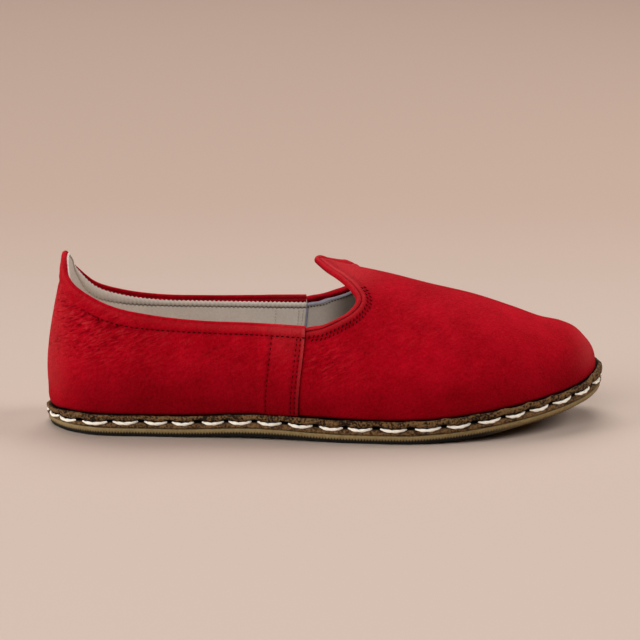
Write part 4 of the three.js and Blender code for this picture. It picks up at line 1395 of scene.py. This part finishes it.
def buildSole():
    size = sole["fuzz"]
    edge = onSole(soleTurns, 0, 0)
    drop = heelDrop(edge)
    sink = footSink(edge)
    under = smooth(edge[:, 0], along(sole["undercutFrom"]), along(sole["undercutUntil"]))
    wave = hole * atLeast(sole["waveLeast"], smooth(edge[:, 0], *map(along, sole["waveFrom"])))
    notch = under * smooth(toothWave, -0.1, 0.3)
    curl = sole["toeCurl"] * smooth(edge[:, 0], along(sole["toeCurlFrom"]), along(last["length"] - 1))
    # painted shade, near black, on the undercut at the heel and waist, fading out towards the toe, and in the
    # notches between the teeth
    soleSlab("tread", [
        (14, 0.6, 0.2),
        (4.4, 0.6, 0.5),
        (2.9, 1.75 - 1.65 * under, under),
        (2.0, 1.95 - 1.8 * under, under),
        (1.65, 1.85 - 0.6 * under + 0.2 * toothWave, under),
        (1.5, 1.95 + 0.8 * toothWave, 0.9 * under),
        (1.2 - 0.3 * toothWave, 2.2 + 0.9 * toothWave, 0.1 + 0.7 * notch),
        (1.0, 2.7 + 0.35 * toothWave, 0.15 * notch),
        (0.92 + fuzz(size / 4), 3.4, 0),
        (0.95 + fuzz(size / 4), 4.05, 0),
        (1.25, 4.4, 0.5),
        (9, 4.4, 0.5),
    ], [treadRubber], ("outsole",))
    # painted shade in the dent under each stitch, where the cord lies, and on the hidden faces
    soleSlab("soleLeather", [
        (9, 4.5, 0.6),
        (1.2, 4.5, 0.6),
        (0.7 + fuzz(size), 4.7, 0.1),
        (0.45 + fuzz(size), 5.05, 0),
        (0.42 + fuzz(size), 5.55 - 0.1 * arch - 0.4 * drop, 0),
        (0.6 + fuzz(size), 6.2 - 0.4 * arch + 0.3 * hole - 0.8 * drop, 0),
        (1.1 + fuzz(size), 6.85 - 0.8 * arch + 0.3 * hole - drop, 0.15 + 0.5 * arch),
        (2.0 + 0.9 * hole, 7.1 - 0.85 * arch + 0.1 * hole - drop, 0.95),
        (9, 7.1 - 0.9 * arch - drop, 1),
    ], [soleHide], ("sole_leather",))
    # painted shade in the holes between the stitches and on the hidden faces
    soleSlab("welt", [
        (9, 7.95 - drop, 1),
        (2.0 + 1.8 * hole, 7.95 + 0.4 * hole - drop, 1),
        (1.1 + 1.2 * hole, 8.1 + 0.45 * hole - drop, 0.5 + 0.5 * hole),
        (0.5 + 0.55 * hole + fuzz(size), 8.45 + 0.4 * hole - 0.9 * drop, 0.85 * hole),
        (0.15 + 0.12 * hole + fuzz(size), 9.2 + 0.2 * hole - 0.6 * drop - 0.2 * sink, 0.25 * hole),
        (0.0 + fuzz(size), 10.1 - 0.2 * drop - 0.6 * sink + 0.6 * curl, 0),
        (0.15 + 0.12 * curl + fuzz(size), 10.75 + 0.3 * wave - 0.9 * sink + 0.9 * curl, 0),
        (0.5 + 0.3 * curl + fuzz(size), 11.2 + 0.65 * wave - sink + curl, 0),
        (1.05 + 0.35 * curl + fuzz(size), 11.35 + 0.8 * wave - sink + curl, 0.1),
        (1.8 + 0.2 * curl, 11.2 + 0.55 * wave - sink + 0.8 * curl, 0.6),
        (3.0, 10.9 - sink, 1),
        (9, 10.9 - sink, 1),
    ], [weltHide], ("welt",))
    soleSlab("insole", [
        (9, 12.2, 0),
        (5.9, 12.25, 0.2),
        (5.4, 12.7, 0.2),
        (5.4, 13.6, 0.2),
        (5.9, 14.05, 0.2),
        (7.5, 14.2, 0.2),
        (14, 14.1, 0.2),
    ], [liningHide], ("insole",))


buildSole()
print("sole layers made:", len(stitchStops), "thick stitches")

# Ribs across the underside, each as long as the tread is wide there


def ribTree():
    tree, given = newTree("treadRibs", {"Path": "Geometry", "Thickness": "Float", "Rubber": "Material"})
    spots = addNode(tree, "GeometryNodeMeshToPoints", {"Mesh": given["Path"]}, "Points")
    radius = addNode(tree, "ShaderNodeMath", {0: given["Thickness"], 1: 0.5}, "Value", operation="MULTIPLY")
    ring = addNode(tree, "GeometryNodeCurvePrimitiveCircle", {"Resolution": 8, "Radius": radius}, "Curve")
    line = addNode(tree, "GeometryNodeCurvePrimitiveLine", {
        "Start": (0, -0.5, 0), "End": (0, 0.5, 0)}, "Curve")
    rib = addNode(tree, "GeometryNodeCurveToMesh", {
        "Curve": line, "Profile Curve": ring, "Fill Caps": True}, "Mesh")
    span = addNode(tree, "GeometryNodeInputNamedAttribute", {"Name": "span"}, "Attribute", data_type="FLOAT")
    size = addNode(tree, "ShaderNodeCombineXYZ", {"X": 0.75, "Y": span, "Z": 1.0}, "Vector")
    row = addNode(tree, "GeometryNodeInstanceOnPoints", {
        "Points": spots, "Instance": rib, "Scale": size}, "Instances")
    return endTree(tree, row, given["Rubber"])


def ribPlaces():
    # middle and span of each rib, from the inset plan
    ring = onSole(soleTurns, sole["ribInset"], 0)
    half = sole["steps"] // 2
    low, high = ring[:half + 1], np.concatenate([ring[half:], ring[:1]])[::-1]
    places = np.arange(low[0, 0] + sole["tooth"], low[-1, 0] - sole["tooth"] / 2, sole["tooth"])
    near = np.interp(places, low[:, 0], low[:, 1])
    far = np.interp(places, high[:, 0], high[:, 1])
    rise = floorRise(places) + sole["ribThick"] / 2
    return np.stack([places, (near + far) / 2, rise], axis=-1), far - near


def grownFrom(name, tree, points, edges, layers, values):
    # the mesh that a tree grows on a path; layers are named attributes of the path's points
    mesh = bpy.data.meshes.new(name + "Path")
    mesh.from_pydata(points * mm, edges, [])
    for label, kind, field, data in layers:
        layer = mesh.attributes.new(label, kind, "POINT")
        layer.data.foreach_set(field, np.asarray(data, np.float32).ravel())
    guide = bpy.data.objects.new(name + "Path", mesh)
    bpy.context.scene.collection.objects.link(guide)
    modifier = guide.modifiers.new(name, "NODES")
    modifier.node_group = tree
    for item in tree.interface.items_tree:
        if item.in_out == "INPUT" and item.name in values:
            modifier[item.identifier] = values[item.name]
    grown = bpy.data.meshes.new_from_object(guide.evaluated_get(bpy.context.evaluated_depsgraph_get()))
    grown.name = name
    bpy.data.objects.remove(guide)
    return bpy.data.objects.new(name, grown)


ribMiddles, ribSpans = ribPlaces()
ribs = grownFrom("treadRibs", ribTree(), ribMiddles, [], [("span", "FLOAT", "value", ribSpans * mm)],
                 {"Thickness": sole["ribThick"] * mm, "Rubber": treadRubber})
placed(ribs, ("outsole",))
print("tread ribs made:", len(ribSpans))

# Seams: thick cord round the sole, thin thread on the upper and the lining
seams = {
    "cord": {
        "Length": 11.5, "Ply": 0.65, "Apart": 0.22, "Rise": 0.6, "Droop": 1.05, "Seat": 1.5, "Stand": 1.15},
    "cordTurns": 1.6,
    "cordTaper": 0.6,
    "cordUneven": 0.03,
    "cordSeed": 3,
    "collar": {"Pitch": 2.5, "Length": 1.2, "Thickness": 0.62, "Crown": 0.05},
    "front": {"Pitch": 2.5, "Length": 1.0, "Thickness": 0.5, "Crown": 0.02},
    "lining": {"Pitch": 1.6, "Length": 0.85, "Thickness": 0.55, "Crown": 0.08},
    "zigzag": {"Pitch": 2.1, "Length": 1.3, "Thickness": 0.6, "Crown": 0.06},
    "zigzagSlant": 50.0,
    "collarFrom": 36.0,
    "zigzagUntil": 0.53,
    "onLining": 0.05,  # how far the thread lies above the lining
}


def sizesOf(name):
    return {key: size * mm for key, size in seams[name].items()}


def sew(name, tree, lines, values):
    points = np.concatenate([line for line, _ in lines])
    outward = np.concatenate([out for _, out in lines])
    ends = np.cumsum([len(line) for line, _ in lines])
    edges = [(place, place + 1) for place in range(len(points) - 1) if place + 1 not in ends]
    made = grownFrom(name, tree, points, edges, [("outward", "FLOAT_VECTOR", "vector", outward)], values)
    return placed(made)


def sewSole():
    stops = readLine(stitchRing, stitchRun, stitchStops)
    forward = unit(readLine(stitchRing, stitchRun, (stitchStops + 1) % stitchRun[-1]) - stops)
    outward = planOut(np.interp(stitchStops, stitchRun, stitchTurns))
    layers = [
        ("forward", "FLOAT_VECTOR", "vector", forward),
        ("outward", "FLOAT_VECTOR", "vector", outward),
        ("span", "FLOAT", "value", stitchSpans / sole["pitch"]),
    ]
    cord = grownFrom("soleCord", soleTree, stops, [], layers, {
        **sizesOf("cord"), "Turns": seams["cordTurns"], "Taper": seams["cordTaper"],
        "Uneven": seams["cordUneven"], "Seed": seams["cordSeed"], "Cord": waxedCord})
    return placed(cord)


def columnsFrom(start, spare):
    # columns of the outer and the inner half of the quarter, away from its peak
    for half in np.split(np.arange(quarter["columns"]), 2):
        yield half[fromPeak[half] > start][spare:-spare]


def collarLines():
    lines = []
    for kept in columnsFrom(seams["collarFrom"], 1):
        places, outs = [], []
        for column in kept:
            run = quarterDrops[column, ::-1]
            drop = collarStitchDrop[column]
            places.append(readLine(quarterSkin[column, ::-1], run, drop))
            outs.append(unit(readLine(quarterOut[column, ::-1], run, drop)))
        lines.append((np.concatenate(places), np.concatenate(outs)))
    return lines


def frontLines(gaps):
    # rows of stitches behind the quarter's front edge, from the sole up to the collar seam
    lines = []
    run = runAcross(quarterSkin)
    for gap in gaps:
        for side in (outer, inner):
            places, outs = [], []
            for row in range(3, quarterSkin.shape[1]):
                wanted = [gap if side == outer else run[-1, row] - gap]
                if quarterDrops[0, row] < collarStitchDrop[0, 0] + 1:
                    break
                places.append(readLine(quarterSkin[:, row], run[:, row], wanted)[0])
                outs.append(unit(readLine(quarterOut[:, row], run[:, row], wanted))[0])
            lines.append((np.array(places), np.array(outs)))
    return lines


def zigzagLines():
    # two rows of holes round the throat, the second half a stitch further on
    frames = throatFrames(500)
    place, _, into, _, fromTip = frames
    reach = int(len(place) / 2 * seams["zigzagUntil"])
    later = round(seams["zigzag"]["Pitch"] / 2 / (fromTip[1] - fromTip[0]))
    lines = []
    for gap, start in zip(vamp["zigzag"], (4, 4 + later)):
        on, outs = layOn(place + into * (rimLegs(frames) + gap)[:, None], vampSkin, vampOut)
        lines += [(on[start:reach], outs[start:reach]), (on[-reach:-start], outs[-reach:-start])]
    return lines


def liningLines():
    # rows under the pinked edge and under the grey edge of the vamp's lining
    face = -(lining["face"] + seams["onLining"])
    drops = (liningEdge + liningStrip)[:, None]
    row, out = onWall(drops, (face + lining["seamDeep"]) * np.ones_like(drops))
    lines = [(row[kept, 0], -out[kept, 0]) for kept in columnsFrom(lining["sewnFrom"], 2)]
    frames = throatFrames(400)
    below = rim["peakFacing"] + (rim["facing"] - rim["peakFacing"]) * frames[3] + lining["tapeWide"] + 0.6
    inside = -(upperForm["wall"] + seams["onLining"])
    under = stripAlong(frames, below[:, None], inside * np.ones((len(below), 1)))
    return lines + [(under[:, 0], -frames[1])]


def liningPuckers():
    # rows that come through from the front seams
    face = -(lining["face"] + seams["onLining"])
    lines = []
    run = runAcross(wall)
    for gap in (*quarter["seamRows"], quarter["tabRow"]):
        for column in (np.argmin(np.abs(run[:, 0] - gap)), np.argmin(np.abs(run[-1, 0] - run[:, 0] - gap))):
            depth = np.linspace(liningEdge[column] + liningStrip[column] + 2, wallRuns[column, -1] - 3, 40)
            made = readLine(wall[column], wallRuns[column], depth)
            normal = unit(readLine(wallNormals[column], wallRuns[column], depth))
            lines.append((made + normal * face, -normal))
    return lines


sewSole()
for seamName, stitchKind, seamLines, slant, thread in (
    ("collarSeam", "collar", collarLines(), 0.0, redThread),
    ("frontSeams", "front", frontLines((*quarter["seamRows"], quarter["tabRow"])), 0.0, redThread),
    ("zigzagSeam", "zigzag", zigzagLines(), seams["zigzagSlant"], redThread),
    ("liningSeams", "lining", liningLines(), 0.0, greyThread),
    ("liningPuckers", "lining", liningPuckers(), 0.0, creamThread),
):
    sew(seamName, seamTree, seamLines,
        {**sizesOf(stitchKind), "Slant": math.radians(slant), "Thread": thread})
print("seams made")

# Studio: a pale floor, a broad soft light above, weak ones at the sides and in front, and a camera at the
# photograph's angle
studio = {
    "floor": "#bfab9e",
    # the far floor's darker tone is a painted fall-off of light towards the back
    "farFloor": "#b99f90",
    "floorSize": 14.0,
    "floorFade": (0.1, 0.8),
    "ambientTint": (1, 0.97, 0.95, 1),
    "sensor": 36,
    "lights": {  # size, place, power
        "overheadSoftbox": (5.2, (-0.4, 3.4, 5.2), 300.0),
        "leftFill": (1.6, (-2.8, -1.0, 0.9), 56.0),
        "rightFill": (1.4, (2.4, 0.2, 1.7), 42.0),
        "frontFill": (2.0, (-0.6, -2.4, 1.8), 42.0),
    },
    "ambient": 0.04,
    "cameraTarget": (-0.00256, 0.0, 0.05148),
    "cameraElevation": 11.5,
    "cameraDistance": 1.144,
    "lens": 129.96,
}


def buildStudio():
    scene = bpy.context.scene
    scene.view_settings.view_transform = "Standard"
    material, tree, shader = newMaterial("beigeStudioPaper")
    place = addNode(tree, "ShaderNodeTexCoord", result="Object")
    depth = addNode(tree, "ShaderNodeSeparateXYZ", {"Vector": place}, "Y")
    # painted fall-off of light: the floor's tone darkens towards the back
    near, away = studio["floorFade"]
    far = addNode(tree, "ShaderNodeMapRange", {"Value": depth, "From Min": near, "From Max": away}, "Result",
                  interpolation_type="SMOOTHSTEP")
    tone = addNode(tree, "ShaderNodeMix", {
        "Factor_Float": far, "A_Color": linear(studio["floor"]), "B_Color": linear(studio["farFloor"])},
        "Result_Color", data_type="RGBA")
    setShader(tree, shader, {"Base Color": tone, "Roughness": 0.95, "Specular IOR Level": 0.1})
    half = studio["floorSize"] / 2
    mesh = bpy.data.meshes.new("floor")
    corners = [(-half, -half, 0), (half, -half, 0), (half, half, 0), (-half, half, 0)]
    mesh.from_pydata(corners, [], [(0, 1, 2, 3)])
    mesh.materials.append(material)
    floor = bpy.data.objects.new("floor", mesh)
    scene.collection.objects.link(floor)
    world = bpy.data.worlds.new("studio")
    world.use_nodes = True
    world.node_tree.nodes["Background"].inputs["Color"].default_value = studio["ambientTint"]
    world.node_tree.nodes["Background"].inputs["Strength"].default_value = studio["ambient"]
    scene.world = world
    for name, (size, place, power) in studio["lights"].items():
        lamp = bpy.data.lights.new(name, "AREA")
        lamp.shape = "DISK"
        lamp.size = size
        lamp.energy = power
        light = bpy.data.objects.new(name, lamp)
        light.location = place
        light.rotation_mode = "QUATERNION"
        light.rotation_quaternion = (-Vector(place)).to_track_quat("-Z", "Y")
        scene.collection.objects.link(light)
    camera = bpy.data.objects.new("camera", bpy.data.cameras.new("camera"))
    camera.data.lens = studio["lens"]
    camera.data.sensor_width = studio["sensor"]
    angle = math.radians(studio["cameraElevation"])
    back = Vector((0, -math.cos(angle), math.sin(angle)))
    camera.location = Vector(studio["cameraTarget"]) + back * studio["cameraDistance"]
    camera.rotation_mode = "QUATERNION"
    camera.rotation_quaternion = (-back).to_track_quat("-Z", "Y")
    scene.collection.objects.link(camera)
    scene.camera = camera


buildStudio()
print("studio made")
